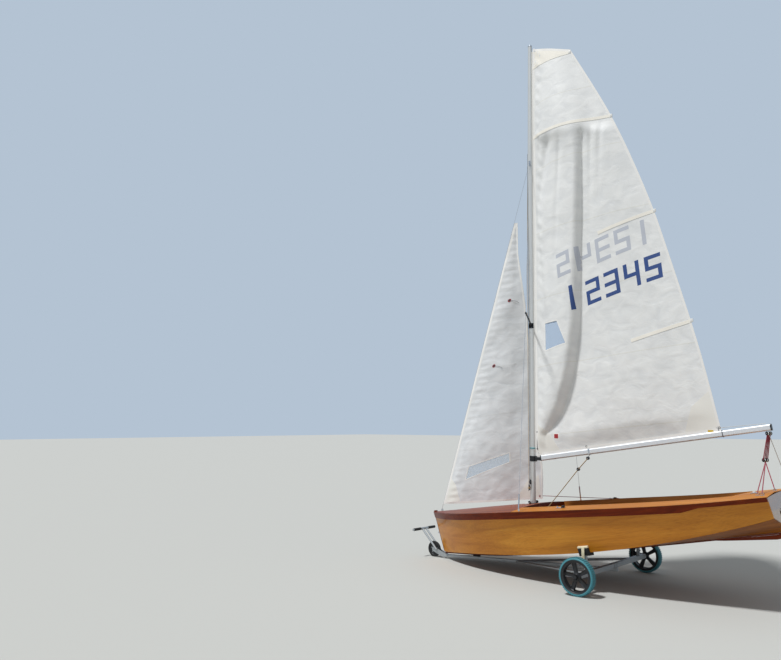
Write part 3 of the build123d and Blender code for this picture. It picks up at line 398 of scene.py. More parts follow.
# A rod, line or rope through points; soft rounds its corners
def line(name, points, radius, soft=False, sides=2):
    drawn = bpy.data.curves.new(name, "CURVE")
    drawn.dimensions = "3D"
    drawn.bevel_depth = radius
    drawn.bevel_resolution = sides
    drawn.use_fill_caps = True
    run = drawn.splines.new("NURBS" if soft else "POLY")
    run.points.add(len(points) - 1)
    for point, place in zip(run.points, points):
        point.co = (*place, 1)
    if soft:
        run.order_u = 3
        run.use_endpoint_u = True
    piece = bpy.data.objects.new(name, drawn)
    bpy.context.collection.objects.link(piece)
    pick(piece)
    bpy.ops.object.convert(target="MESH")
    return smoothed(bpy.context.object, 60)


def joined(name, parts):
    pick(parts[0])
    for part in parts:
        part.select_set(True)
    bpy.ops.object.join()
    piece = bpy.context.object
    piece.name = name
    return piece


def moved(piece, place):
    piece.data.transform(place)
    piece.data.update()
    return piece


def copied(piece, name, place):
    twin = bpy.data.objects.new(name, piece.data.copy())
    bpy.context.collection.objects.link(twin)
    return moved(twin, place)


def paint(piece, finish):
    piece.data.materials.clear()
    piece.data.materials.append(finish)
    return piece


# Gives the piece its finish and the body that it rides on
def dress(piece, finish, body=rootBody):
    paint(piece, finish)
    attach(piece, body)
    return piece


# Joins painted parts into one piece that rides on a body
def assembled(name, parts, body=rootBody):
    piece = joined(name, parts)
    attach(piece, body)
    return piece


# One piece joined from parts: each part is its finish, its maker and what the maker is given after the name
def kit(name, parts, place=Matrix.Identity(4), body=rootBody):
    made = [paint(make(name, *given), finish) for finish, make, *given in parts]
    return moved(assembled(name, made, body), place)


# A line or a rope with its finish and its body
def strung(name, points, radius, finish, body=rootBody, soft=False):
    dress(line(name, points, radius, soft), finish, body)


# Where a line straight down meets a CAD node, from a place along and across the hull: the place and the way up
def landing(name, x, y):
    down = hullFrame.to_3x3() @ -alongZ
    _, place, normal, _ = nodes[name].ray_cast(onHull(x, y, 0.9), down)
    return place, normal if normal.dot(down) < 0 else -normal


# A turn and a place for something built at the origin, standing on a face with its X along the hull
def standing(place, normal):
    up = Vector(normal).normalized()
    ahead = hullFrame.to_3x3() @ Vector((1, 0, 0))
    ahead = (ahead - up * ahead.dot(up)).normalized()
    turn = Matrix((ahead, up.cross(ahead), up)).transposed().to_4x4()
    return Matrix.Translation(place) @ turn


def pair(name):
    return [f"{name}_port", f"{name}_starboard"]


# CAD pieces that keep their shape and get a finish
finishes = {
    honeyPly: pair("topside"), transomPly: ["transom"], sideDeckPly: [*pair("side_deck"), "aft_deck"],
    foreDeckPly: ["foredeck"], bottomPly: pair("bottom"), teakSlats: ["floor_slats"],
    mahogany: [*pair("rubbing_strake"), "stem", "keel_strip", "skeg", "deck_beam", "mast_step", "thwart",
               "centreboard_case", "centreboard"],
    innerPly: ["forward_bulkhead", "stern_bulkhead", *pair("side_tank")],
    anodised: ["mast"], darkAnodised: ["spreaders"], boomAlloy: ["boom"],
    stainless: ["gudgeons", "bow_eye", "hounds", *pair("shroud"), "shroud_adjusters", "shroud_plates", "stay_plate",
                "forestay", "mast_cap", "centreboard_pin"],
    blackPlastic: ["mast_collar", "boom_end", "boom_jaw", "gooseneck", "drain_flaps", *pair("wheel"), "axle_caps"],
    galvanised: ["axle", "drawbar", *pair("brace"), "jockey_fork", "tow_handle", "cradle_posts"],
    creamPad: ["cradle_pads"], blackRubber: ["bow_chock", "jockey_wheel"], tealRubber: pair("tyre"),
    mainCloth: ["mainsail"], jibCloth: ["jib"],
}
for finish, names in finishes.items():
    for name in names:
        paint(nodes[name], finish)

# Pieces whose corners are eased by a width in metres, each on a merged copy of the CAD piece
easedEdges = {"thwart": 0.003, "mast_step": 0.003, "skeg": 0.002, "floor_slats": 0.002, "cradle_pads": 0.004,
              "cradle_posts": 0.002, "drawbar": 0.003, "brace_port": 0.002, "brace_starboard": 0.002,
              "bow_chock": 0.003, "centreboard_case": 0.002}


def merge():
    bpy.ops.mesh.remove_doubles(threshold=0.00002)
    bpy.ops.mesh.dissolve_limited(angle_limit=math.radians(1.5))


for name, width in easedEdges.items():
    piece = softened(edited(copied(nodes[name], name + "_eased", Matrix.Identity(4)), merge), width, 40)
    dress(piece, nodes[name].data.materials[0])
    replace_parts(piece, name)

# The pads are pale cream along the top edge and dark rubber below it; the dark lower part is painted shade for the
# shadow on the pads' sides
pads = bpy.data.objects["cradle_pads_eased"]
shadeEdgeUp = hullFrame.to_3x3() @ alongZ
padShadeEdge = {"x": -0.402, "foot": 0.4316}
shadeEdgeFoot = flatPoint(padShadeEdge["x"], padShadeEdge["foot"])
edited(pads, lambda: bpy.ops.mesh.bisect(plane_co=shadeEdgeFoot, plane_no=shadeEdgeUp))
# Dark rubber below the cut: painted shade
pads.data.materials.append(blackRubber)
for part in pads.data.polygons:
    part.material_index = 0 if (part.center - shadeEdgeFoot).dot(shadeEdgeUp) > 0 else 1
print("CAD pieces dressed")

# Mainsail: cut flat on the loft floor, x aft from the luff and z up, then bent to its shape
# Rows: height of the luff, height of the leech, chord, crest's share and offset to port, fold's share and offset
mainSail = {
    "rows": [(0.559, 0.889, 1.990, 0.12, 0.040, 0.20, 0.024), (1.400, 1.690, 1.815, 0.26, 0.120, 0.38, 0.084),
             (2.300, 2.546, 1.585, 0.34, 0.165, 0.48, 0.118), (3.250, 3.400, 1.330, 0.38, 0.175, 0.60, 0.110),
             (4.270, 4.367, 0.950, 0.42, 0.165, 0.72, 0.095), (5.420, 5.280, 0.480, 0.45, 0.030, 0.75, 0.015)],
    # height, crest's place and offset to port, place and offset of the hard fold below the second batten
    "folded": [(0.80, 0.05, 0.026, 0.120, 0.010), (1.00, 0.175, 0.064, 0.285, 0.0), (1.28, 0.300, 0.096, 0.405, 0.0),
               (1.52, 0.370, 0.112, 0.477, 0.006), (1.80, 0.424, 0.124, 0.526, 0.012),
               (2.07, 0.460, 0.132, 0.562, 0.020), (2.40, 0.484, 0.138, 0.578, 0.030),
               (2.97, 0.512, 0.140, 0.598, 0.044), (3.42, 0.534, 0.142, 0.618, 0.052),
               (4.00, 0.540, 0.146, 0.630, 0.062), (4.29, 0.470, 0.166, 0.645, 0.092)],
    "belly": 0.05, "foldTop": 4.31, "foldFade": 0.14, "footHold": 0.24,
    # place under the second batten, lean to the luff per metre, width, depth and length of each hanging crease
    "hanging": [(0.090, 0.020, 0.028, 0.0100, 1.0), (0.230, 0.190, 0.052, 0.0400, 1.35),
                (0.385, 0.060, 0.030, 0.0240, 2.00), (0.740, 0.030, 0.028, 0.0220, 1.30),
                (0.850, 0.040, 0.030, 0.0170, 1.00)],
    "columns": 150, "levels": 190, "thick": 0.0014, "flat": (2.02, 4.95),
    "window": [(0.155, 2.058), (0.320, 2.076), (0.425, 1.824), (0.158, 1.752)],
}


def held(value, low=0.0, high=1.0):
    return max(low, min(value, high))


# A row of numbers at place from 0 to 1, on a smooth curve through the rows
def between(rows, place):
    run = held(place) * (len(rows) - 1)
    k = min(int(run), len(rows) - 2)
    t = run - k
    before, start, end, after = rows[max(k - 1, 0)], rows[k], rows[k + 1], rows[min(k + 2, len(rows) - 1)]
    return [b + 0.5 * t * (c - a + t * (2 * a - 5 * b + 4 * c - d + t * (3 * (b - c) + d - a)))
            for a, b, c, d in zip(before, start, end, after)]


# The gap between two numbers of a rising row that the value falls in
def gapAt(stops, value):
    return held(sum(value > stop for stop in stops[1:-1]), 0, len(stops) - 2)


# The numbers of rows that start with a height, on a smooth curve over that height
def rowAtHeight(rows, height):
    k = gapAt([row[0] for row in rows], height)
    low, high = rows[k], rows[k + 1]
    before, after = rows[max(k - 1, 0)], rows[min(k + 2, len(rows) - 1)]
    span = high[0] - low[0]
    t = held((height - low[0]) / span)
    numbers = []
    for a, b, c, d in list(zip(before, low, high, after))[1:]:
        slopeLow = (c - a) / (high[0] - before[0]) * span
        slopeHigh = (d - b) / (after[0] - low[0]) * span
        numbers.append((2 * t ** 3 - 3 * t ** 2 + 1) * b + (t ** 3 - 2 * t ** 2 + t) * slopeLow
                       + (3 * t ** 2 - 2 * t ** 3) * c + (t ** 3 - t ** 2) * slopeHigh)
    return numbers


# Middle and radius of the circle through three points
def arcThrough(a, b, c):
    d = 2 * (a[0] * (b[1] - c[1]) + b[0] * (c[1] - a[1]) + c[0] * (a[1] - b[1]))
    squares = [p[0] ** 2 + p[1] ** 2 for p in (a, b, c)]
    x = (squares[0] * (b[1] - c[1]) + squares[1] * (c[1] - a[1]) + squares[2] * (a[1] - b[1])) / d
    y = (squares[0] * (c[0] - b[0]) + squares[1] * (a[0] - c[0]) + squares[2] * (b[0] - a[0])) / d
    return x, y, math.hypot(a[0] - x, a[1] - y)


# How far the cloth stands to port: an arc over the crest to the fold, then a hollow to the leech
def sectionOffset(share, chord, crestShare, crest, foldShare, fold):
    x, turnAt = held(share) * chord, foldShare * chord
    x1, y1, r1 = arcThrough((0, 0), (crestShare * chord, crest), (turnAt, fold))
    if x <= turnAt:
        return y1 + math.sqrt(max(r1 * r1 - (x - x1) ** 2, 0))
    ux, uy = (turnAt - x1) / r1, (fold - y1) / r1
    dx, dy = turnAt - chord, fold
    reach = -(dx * dx + dy * dy) / (2 * (dx * ux + dy * uy))
    x2, y2 = turnAt + ux * reach, fold + uy * reach
    return y2 - math.copysign(math.sqrt(max(reach * reach - (x - x2) ** 2, 0)), uy * reach)


# The slack lower part: up over a crest, down a steep flank to a hard fold, and a shallow belly to the leech
def foldedOffset(x, z, chord):
    crestX, crest, valleyX, valley = rowAtHeight(mainSail["folded"], z)
    if x <= crestX:
        return crest * math.sin(max(x, 0) / crestX * math.pi / 2)
    if x <= valleyX:
        return valley + (crest - valley) * (1 - ((x - crestX) / (valleyX - crestX)) ** 2.2)
    s = min((x - valleyX) / (chord - valleyX), 1)
    return valley * (1 - s) + mainSail["belly"] * math.sin(math.pi * s)


def easeIn(value):
    t = held(value)
    return t * t * (3 - 2 * t)


def mainPlan(row, share):
    luff, leech, chord = between(mainSail["rows"], row)[:3]
    return share * chord, luff + (leech - luff) * share


# The row that the flat point x, z lies on, and its share of the chord
def mainRowAt(x, z):
    low, high = -0.08, 1.08
    for _ in range(22):
        middle = (low + high) / 2
        luff, leech, chord = between(mainSail["rows"], middle)[:3]
        beyond = (middle - held(middle)) * 4
        if luff + beyond + (leech - luff) * x / chord < z:
            low = middle
        else:
            high = middle
    return middle, x / between(mainSail["rows"], middle)[2]


def mainPoint(x, z):
    row, share = mainRowAt(x, z)
    luff, leech, chord, *section = between(mainSail["rows"], row)
    inside = held(share)
    full = sectionOffset(inside, chord, *section)
    slack = easeIn((mainSail["foldTop"] - z) / mainSail["foldFade"])
    y = full + (foldedOffset(inside * chord, z, chord) - full) * slack
    luffFoot, leechFoot = mainSail["rows"][0][:2]
    y *= 0.2 + 0.8 * easeIn((z - luffFoot - (leechFoot - luffFoot) * inside) / mainSail["footHold"])
    return onSwing(x, y + mainCrease(x, z, share), z)


def hump(value, middle, width):
    return math.exp(-((value - middle) / width) ** 2)


def noiseAt(*place):
    return noise.noise(Vector(place))


# Creases of the cloth: upright ones hanging from the second batten, slack along the luff and foot, and crumple
def mainCrease(x, z, share):
    y, below = 0.0, mainSail["foldTop"] - z
    for place, lean, width, depth, length in mainSail["hanging"]:
        drop = below / length
        if 0 < drop < 1:
            y -= depth * easeIn(drop * 6) * (1 - drop) ** 1.2 * hump(x, place - lean * below, width)
    luffWave = math.sin((z + 0.9 * x) * 2 * math.pi / 0.15 + 2.0 * noiseAt(0.7, z * 1.4, 3.0))
    y += 0.0070 * hump(x, 0.075, 0.05) * luffWave * (0.7 + 0.6 * noiseAt(4.0, z * 1.1, 1.0))
    slant = math.sin(z * 2 * math.pi / 0.095 - x * 9.0 + 3.6 * noiseAt(x * 2.2, z * 2.0, 8.0))
    y += 0.0012 * easeIn((x - 0.6) / 0.4) * hump(z, 1.30, 0.42) * slant * (0.5 + noiseAt(x * 3.0, z * 2.2, 6.0))
    y += 0.009 * noiseAt(x * 2.6, z * 2.2, 0.3) + 0.0028 * noiseAt(x * 9, z * 8, 4.2)
    return y * held(min(12 * share, 14 * (1 - share)))


# Bends a flat-cut piece: each point keeps its height over the cloth, which is its own y
def drape(piece, surface):
    step = 0.002
    for vertex in piece.data.vertices:
        x, y, z = vertex.co
        base = surface(x, z)
        out = (surface(x + step, z) - base).cross(surface(x, z + step) - base).normalized()
        vertex.co = base + (out if out.y >= 0 else -out) * y
    piece.data.update()
    return piece


# A flat grid, laid out by plan(level, share), whose own UV map keeps the flat cut in metres
def clothGrid(name, columns, levels, plan, height=0.0):
    bpy.ops.mesh.primitive_grid_add(x_subdivisions=columns, y_subdivisions=levels, size=2)
    piece = settled(name)
    for vertex in piece.data.vertices:
        x, z = plan((vertex.co.y + 1) / 2, (vertex.co.x + 1) / 2)
        vertex.co = (x, height, z)
    layer = piece.data.uv_layers.active or piece.data.uv_layers.new(name="cloth")
    layer.name = "cloth"
    for loop in piece.data.loops:
        x, _, z = piece.data.vertices[loop.vertex_index].co
        layer.data[loop.index].uv = (x, z)
    return piece


def thickened(piece, thick):
    return carve(piece, "SOLIDIFY", thickness=thick, offset=0)


# Cuts a straight-sided hole through the flat cloth, in edit mode
def cutWindow(piece, corners):
    corners = [flatPoint(*corner) for corner in corners]
    middle = sum(corners, Vector()) / len(corners)
    sidesOut = []
    for k, corner in enumerate(corners):
        normal = (corners[k - 1] - corner).cross(acrossY).normalized()
        if normal.dot(corner - middle) < 0:
            normal = -normal
        sidesOut.append((corner, normal))
        edited(piece, lambda: bpy.ops.mesh.bisect(plane_co=corner, plane_no=normal))
    return edited(piece, lambda: bpy.ops.mesh.delete(type="FACE"),
                  lambda face: all((face.center - corner).dot(normal) < 0 for corner, normal in sidesOut))


# A four-cornered patch on the flat cloth; level is its height over the cloth's middle
def flatPatch(name, corners, level, thick=0.0008, cells=(8, 8)):
    lowNear, lowFar, highFar, highNear = [flatPoint(*corner) for corner in corners]

    def plan(v, u):
        point = (lowNear * (1 - u) + lowFar * u) * (1 - v) + (highNear * (1 - u) + highFar * u) * v
        return point.x, point.z

    return thickened(clothGrid(name, *cells, plan, level), thick)


# A tape of one width along a flat line of points
def strip(name, points, width, level, thick=0.0012, cells=24, sides=(-0.5, 0.5)):
    spots = [flatPoint(*point) for point in points]
    lengths = [0]
    for a, b in zip(spots, spots[1:]):
        lengths.append(lengths[-1] + (b - a).length)

    def plan(v, u):
        reach = v * lengths[-1]
        k = gapAt(lengths, reach)
        spot = spots[k].lerp(spots[k + 1], (reach - lengths[k]) / (lengths[k + 1] - lengths[k]))
        along = (spots[k + 1] - spots[k]).normalized()
        point = spot + flatPoint(along.z, -along.x) * width * (sides[0] + (sides[1] - sides[0]) * u)
        return point.x, point.z

    return thickened(clothGrid(name, 3, cells, plan, level), thick)


def onSail(piece, surface, finish, body):
    return dress(smoothed(drape(piece, surface), 50), finish, body)


# The same stitched piece on the port face and on the starboard face
def bothFaces(make, name, shape, *given, level, **more):
    return [make(f"{name}_{label}", shape, *given, level=side * level, **more) for side, label in shipSides]


# The bent cloth of a whole sail, with its window's hole
def sailCloth(name, sail, plan, surface, angle, finish, body):
    cloth = cutWindow(clothGrid(name, sail["columns"], sail["levels"], plan), sail["window"])
    thickened(drape(cloth, surface), sail["thick"])
    return dress(smoothed(cloth, angle), finish, body)


face = mainSail["thick"] / 2 + 0.0004


# Tapes along a sail's edges: name, two ends as (level, share), steps between them, width, cells and sides of each
def taped(sail, plan, surface, body, tapes):
    for name, (level0, share0), (level1, share1), steps, width, cells, sides in tapes:
        run = [plan(level0 + (level1 - level0) * k / steps, share0 + (share1 - share0) * k / steps)
               for k in range(steps + 1)]
        for tape in bothFaces(strip, f"{sail}_{name}_tape", run, width, level=face, cells=cells, sides=sides):
            onSail(tape, surface, whiteTape, body)


# Patches at a sail's corners: name, four corners and finish of each
def patched(sail, surface, body, cells, patches):
    for name, corners, finish in patches:
        for patch in bothFaces(flatPatch, f"{sail}_{name}_patch", corners, level=face, cells=(cells, cells)):
            onSail(patch, surface, finish, body)


# A clear window with a stitched frame
def filmWindow(name, corners, surface, body):
    middle = Vector((sum(c[0] for c in corners) / 4, sum(c[1] for c in corners) / 4))
    film, rim = [[tuple(Vector(c) + (Vector(c) - middle).normalized() * by) for c in corners] for by in (0.006, 0.008)]
    onSail(flatPatch(name, film, 0.0, 0.0006, (10, 12)), surface, windowFilm, body)
    for k, (a, b) in enumerate(zip(rim, rim[1:] + rim[:1])):
        onSail(strip(f"{name}_tape_{k}", [a, b], 0.014, face, cells=14), surface, whiteTape, body)


# A pressed eye in the cloth: a rolled ring on both faces
def pressedEye(name, place, surface, body, finish=stainless):
    dress(drape(ring(name, 0.009, 0.0026, flatPoint(*place), acrossY), surface), finish, body)


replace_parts(sailCloth("mainsail_cloth", mainSail, mainPlan, mainPoint, 70, mainCloth, boomBody), "mainsail")
taped("main", mainPlan, mainPoint, boomBody, [
    ("luff", (0, 0), (1, 0), 11, 0.030, 150, (0.17, 1)), ("leech", (0, 1), (1, 1), 11, 0.022, 150, (-1, 0)),
    ("foot", (0, 0.01), (0, 0.99), 5, 0.028, 60, (-1, 0)), ("head", (1, 0.02), (1, 0.98), 3, 0.028, 20, (0, 1))])
battens = [[(0.0, 5.178), (0.478, 5.250)], [(0.0, 4.300), (0.955, 4.362)],
           [(0.797, 3.026), (1.405, 3.202)], [(1.136, 1.814), (1.748, 1.998)]]
for number, run in enumerate(battens, 1):
    for pocket in bothFaces(strip, f"main_batten_pocket_{number}", run, 0.034, level=face + 0.0012, thick=0.0026,
                            cells=60):
        onSail(pocket, mainPoint, creamCloth, boomBody)
    x, z = run[1]
    cap = block(f"main_batten_end_{number}", (0.03, 0.012, 0.036), (x - 0.004, 0, z), 0.003)
    dress(drape(cap, mainPoint), whitePlastic, boomBody)
patched("main", mainPoint, boomBody, 16, [
    ("head", [(0.004, 5.16), (0.485, 5.235), (0.470, 5.277), (0.004, 5.412)], creamCloth),
    ("tack", [(0.004, 0.575), (0.300, 0.625), (0.150, 0.840), (0.004, 0.930)], patchCloth),
    ("clew", [(1.640, 0.842), (1.975, 0.898), (1.905, 1.300), (1.720, 1.120)], patchCloth)])
filmWindow("main_window", mainSail["window"][::-1], mainPoint, boomBody)
for name, (x, z), half, lift, finish in (("red_mark_backing", (0.252, 0.788), 0.034, 0, whiteTape),
                                         ("red_mark", (0.252, 0.788), 0.024, 0.0008, redTape),
                                         ("yellow_tape", (1.891, 0.866), 0.026, 0.0008, yellowTape)):
    corners = [(x - half, z - half), (x + half, z - half), (x + half, z + half), (x - half, z + half)]
    onSail(flatPatch("main_" + name, corners, face + lift, 0.0006, (6, 6)), mainPoint, finish, boomBody)
for name, place, finish in (("clewRing", (1.955, 0.915), stainless), ("headRing", (0.030, 5.385), stainless),
                            ("tackRing", (0.030, 0.590), stainless), ("eye", (0.600, 0.686), blackPlastic)):
    pressedEye("main_" + name, place, mainPoint, boomBody, finish)

# Plain generic digits in blue; on each face the other face's row, one row higher, is painted pale as painted shade of
# the digits showing through the cloth
digitStrokes = {"1": "m", "2": "abged", "3": "abgcd", "4": "fgbc", "5": "afgcd"}
digits = {"text": "12345", "height": 0.272, "width": 0.170, "stroke": 0.041, "pitch": 0.228, "climb": 16.5,
          "lean": 6.0, "near": (0.440, 2.165), "far": (0.345, 2.555)}


# Left, low, right and high edge of one stroke of a digit, in the digit's own box
def digitStroke(figure, mark):
    w, h, s = digits["width"], digits["height"], digits["stroke"]
    used = digitStrokes[figure]
    top, foot = h - s if "a" in used else h, s if "d" in used else 0
    upper, lower = (h + s) / 2, (h - s) / 2
    return {"a": (0, h - s, w, h), "g": (0, lower, w, upper), "d": (0, 0, w, s), "b": (w - s, upper, w, top),
            "c": (w - s, foot, w, lower), "f": (0, upper, s, top), "e": (0, foot, s, lower),
            "m": ((w - s) / 2, 0, (w + s) / 2, h)}[mark]


def digitRow(name, start, level, finish, mirror=False):
    climb, lean = math.radians(digits["climb"]), math.radians(digits["lean"])
    strokes = []
    for place, figure in enumerate(digits["text"][::-1] if mirror else digits["text"]):
        for mark in digitStrokes[figure]:
            x0, z0, x1, z1 = digitStroke(figure, mark)
            if mirror:
                x0, x1 = digits["width"] - x1, digits["width"] - x0
            spots = []
            for x, z in ((x0, z0), (x1, z0), (x1, z1), (x0, z1)):
                run = x + place * digits["pitch"]
                spots.append((start[0] + run * math.cos(climb) - z * math.sin(lean),
                              start[1] + run * math.sin(climb) + z * math.cos(lean)))
            strokes.append(flatPatch(name, spots, level, 0.0005, (12, 12)))
    onSail(joined(name, strokes), mainPoint, finish, boomBody)


digitRow("main_digits_port", digits["near"], face, blueInk)
digitRow("main_digits_show_through_port", digits["far"], face, showThroughShade, mirror=True)
digitRow("main_digits_starboard", digits["far"], -face, blueInk, mirror=True)
digitRow("main_digits_show_through_starboard", digits["near"], -face, showThroughShade)
print("mainsail made")

# Jib: x aft from the luff, z down the stay from its head
# Rows: share of the stay from its head, chord, turn to starboard, crest's share and offset, fold's share and offset
jibSail = {
    "rows": [(0.15, 0.040, 10, 0.45, 0.002, 0.70, 0.001), (0.40, 0.420, 12, 0.40, 0.034, 0.70, 0.018),
             (0.68, 0.840, 12, 0.38, 0.070, 0.68, 0.038), (0.985, 1.300, 10, 0.36, 0.090, 0.66, 0.050)],
    "footRise": 5.7, "columns": 80, "levels": 150, "thick": 0.0012, "flat": (1.33, 3.62), "clewRing": (1.255, 4.165),
    "window": [(0.260, 3.900), (0.770, 3.710), (0.730, 3.590), (0.260, 3.730)],
}
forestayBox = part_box("forestay")
stayHead, stayFoot = flatPoint(forestayBox[0][0], forestayBox[1][2]), flatPoint(forestayBox[1][0], forestayBox[0][2])
staySpan = (stayFoot - stayHead).length


# Where a share of the stay lies among the jib's rows, from 0 to 1
def jibRowPlace(share):
    stops = [row[0] for row in jibSail["rows"]]
    k = gapAt(stops, share)
    return (k + (share - stops[k]) / (stops[k + 1] - stops[k])) / (len(stops) - 1)


def jibPoint(x, z):
    share = z / staySpan
    chord, turn, *section = between([row[1:] for row in jibSail["rows"]], jibRowPlace(share))
    t, angle = x / chord, math.radians(turn)
    ripple = math.sin(z * 2 * math.pi / 0.085 + 3 * x + 2.2 * noiseAt(0.4, z * 1.7, 2.0))
    crumple = (0.0042 * hump(x, 0.10, 0.10) * ripple * (0.6 + 0.6 * noiseAt(2.0, z * 1.3, 5.0))
               + 0.018 * noiseAt(x * 3, z * 2.4, 7.7) + 0.004 * noiseAt(x * 10, z * 9, 1.1))
    y = sectionOffset(t, chord, *section) + crumple * held(min(10 * t, 10 * (1 - t)))
    climb = math.tan(math.radians(jibSail["footRise"])) * share
    aft = Vector((-math.cos(angle), -math.sin(angle), climb)).normalized()
    side = Vector((-math.sin(angle), math.cos(angle), 0))
    return stayHead + (stayFoot - stayHead) * share + Vector((-0.003, 0, 0)) + aft * x + side * y


# Flat cut: level from 0 at the foot to 1 at the head
def jibPlan(level, share):
    high, low = jibSail["rows"][0][0], jibSail["rows"][-1][0]
    place = low - (low - high) * level
    chord = between([row[1:2] for row in jibSail["rows"]], jibRowPlace(place))[0]
    return share * chord, place * staySpan


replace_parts(sailCloth("jib_cloth", jibSail, jibPlan, jibPoint, 60, jibCloth, rootBody), "jib")
taped("jib", jibPlan, jibPoint, rootBody, [
    ("luff", (0, 0), (1, 0), 9, 0.034, 120, (-1, 0)), ("leech", (0, 1), (1, 1), 9, 0.020, 120, (0, 1)),
    ("foot", (0, 0), (0, 1), 5, 0.024, 40, (0, 1))])
patched("jib", jibPoint, rootBody, 12, [
    ("head", [(0.004, 0.80), (0.030, 0.80), (0.028, 0.66), (0.004, 0.66)], patchCloth),
    ("clew", [(0.985, 4.176), (1.285, 4.198), (1.170, 3.900), (1.050, 3.960)], patchCloth),
    ("tack", [(0.004, 4.196), (0.260, 4.180), (0.130, 3.960), (0.004, 3.850)], patchCloth)])
filmWindow("jib_window", jibSail["window"], jibPoint, rootBody)
for number, (x, z) in enumerate(((0.210, 1.630), (0.230, 2.450)), 1):
    name = f"jib_telltale_patch_{number}"
    spot = paint(ring(name, 0.0165, 0.0042, (x, 0, z), acrossY, 24, 6), redTape)
    dot = paint(barrel(name, 0.0125, 0.0030, (x, 0, z), acrossY, 24, 0.0008), darkRope)
    assembled(name, [drape(spot, jibPoint), drape(dot, jibPoint)])
    tail = [jibPoint(x + aft, z + down) + acrossY * lift
            for aft, down, lift in ((0, 0, 0.004), (0.045, 0.006, 0.007), (0.095, 0.020, 0.006), (0.13, 0.045, 0.008))]
    strung(f"jib_telltale_{number}", tail, 0.0016, darkRope, soft=True)
pressedEye("jib_clew_ring", jibSail["clewRing"], jibPoint, rootBody)
for k in range(9):
    share = jibSail["rows"][0][0] + 0.03 + k * 0.098
    hank = ring(f"jib_hank_{k}", 0.0058, 0.0016, stayHead.lerp(stayFoot, share), stayFoot - stayHead, 16, 6)
    dress(hank, whitePlastic)
print("jib made")


# A rope block: two rounded cheeks, a grooved wheel and its pin, built about place
def pulley(name, place, axis, radius, body=rootBody):
    axis = axis.normalized()
    cheeks = [(blackPlastic, barrel, radius, radius * 0.22, place + axis * side * radius * 0.5, axis, 24, radius * 0.08)
              for side in (-1, 1)]
    kit(name, [*cheeks, (whitePlastic, ring, radius * 0.62, radius * 0.30, place, axis, 24, 10),
               (stainless, barrel, radius * 0.22, radius * 1.5, place, axis, 16, radius * 0.05)], body=body)


# A pad eye: a small plate with a standing ring and two screws, on a deck; gives the place of the ring
def padEye(name, node, x, y, radius=0.011):
    place, normal = landing(node, x, y)
    screws = [(stainless, barrel, 0.0024, 0.0014, (end * radius * 1.25, 0, 0.0036), alongZ, 12, 0.0003)
              for end in (-1, 1)]
    kit(name, [(stainless, block, (radius * 3.2, radius * 1.5, 0.003), (0, 0, 0.0015), 0.0008),
               (stainless, ring, radius, 0.0024, (0, 0, radius * 0.75 + 0.002), acrossY), *screws],
        standing(place, normal))
    return place + normal * radius * 1.6


# Mast fittings, in the mast's own frame: x forward, y to port, z up from the deck
rope = {"x": -0.0440, "radius": 0.0042, "webX": -0.038, "web": (0.014, 0.0026), "low": 0.600, "high": 5.395}
ropeRun = [onMast(rope["x"], 0, rope["low"]), onMast(rope["x"], 0, rope["high"])]
boltRope = line("main_bolt_rope", ropeRun, rope["radius"], sides=3)
web = block("main_bolt_rope_web", (*rope["web"], rope["high"] - rope["low"]),
            (rope["webX"], 0, (rope["high"] + rope["low"]) / 2))
assembled("main_bolt_rope", [paint(boltRope, whiteTape), paint(moved(web, mastFrame), whiteTape)])
band = {"height": 0.645, "radius": 0.0345, "wire": 0.0032, "squash": (1, 0.83, 2.2, 1)}
bandPlace = mastFrame @ Matrix.Translation((0, 0, band["height"])) @ Matrix.Diagonal(band["squash"])
dress(moved(ring("mast_band", band["radius"], band["wire"], (0, 0, 0), alongZ, 40, 10), bandPlace), tealRope)
for name, finish, x, y, low, high, topX, topY in (
    ("jib_halyard", beigeRope, 0.032, 0.037, 0.235, 3.925, 0.033, 0.006),
    ("main_halyard", whiteRope, 0.006, -0.036, 0.300, 5.440, 0.0, -0.012),
    ("pole_halyard", darkRope, 0.020, 0.036, 0.300, 4.130, 0.034, 0.004),
):
    run = [onMast(x, y, low), onMast(x, y, low + 0.4), onMast(x, y * 0.95, high * 0.7), onMast(topX, topY, high)]
    strung(name, run, 0.0026, finish)


# A horn cleat: a foot plate, a waist and two tapering horns, with the rope's turns round it
cleat = {"foot": (0.016, 0.004, 0.052), "waist": (0.011, 0.012, 0.020), "horn": 0.0055, "hornTip": 0.0026,
         "hornLength": 0.036, "turn": 0.0125, "rope": 0.0026}


def horn(name, place, along):
    return softened(barrel(name, cleat["horn"], cleat["hornLength"], place, along, 16, top=cleat["hornTip"]), 0.0012)


def hornCleat(name, height, side, x, turns):
    horns = [(blackPlastic, horn, (x, side * 0.041, height + end * 0.020), (0, side * 0.12, end)) for end in (-1, 1)]
    wraps = [(turns, ring, cleat["turn"], cleat["rope"], (x, side * 0.036, height - 0.008 + 0.007 * k), (0.25, 0, 1))
             for k in range(3)]
    kit(name, [(blackPlastic, block, cleat["foot"], (x, side * 0.0275, height), 0.0012),
               (blackPlastic, block, cleat["waist"], (x, side * 0.034, height), 0.002), *horns, *wraps], mastFrame)


hornCleat("mast_cleat_1", 0.20, 1, 0.030, beigeRope)
hornCleat("mast_cleat_2", 0.265, -1, 0.006, whiteRope)
hornCleat("mast_cleat_3", 0.265, 1, 0.018, darkRope)

# Masthead: a sheave in the cap and the head board's shackle
pulley("masthead_sheave", onMast(-0.016, 0, 5.452), mastFrame.to_3x3() @ acrossY, 0.013)
headShackle = [onSwing(0.030, 0.006, 5.385), onSwing(0.016, 0.004, 5.425), onSwing(0.004, 0.0, 5.440)]
strung("main_head_shackle", headShackle, 0.0026, stainless, boomBody, soft=True)

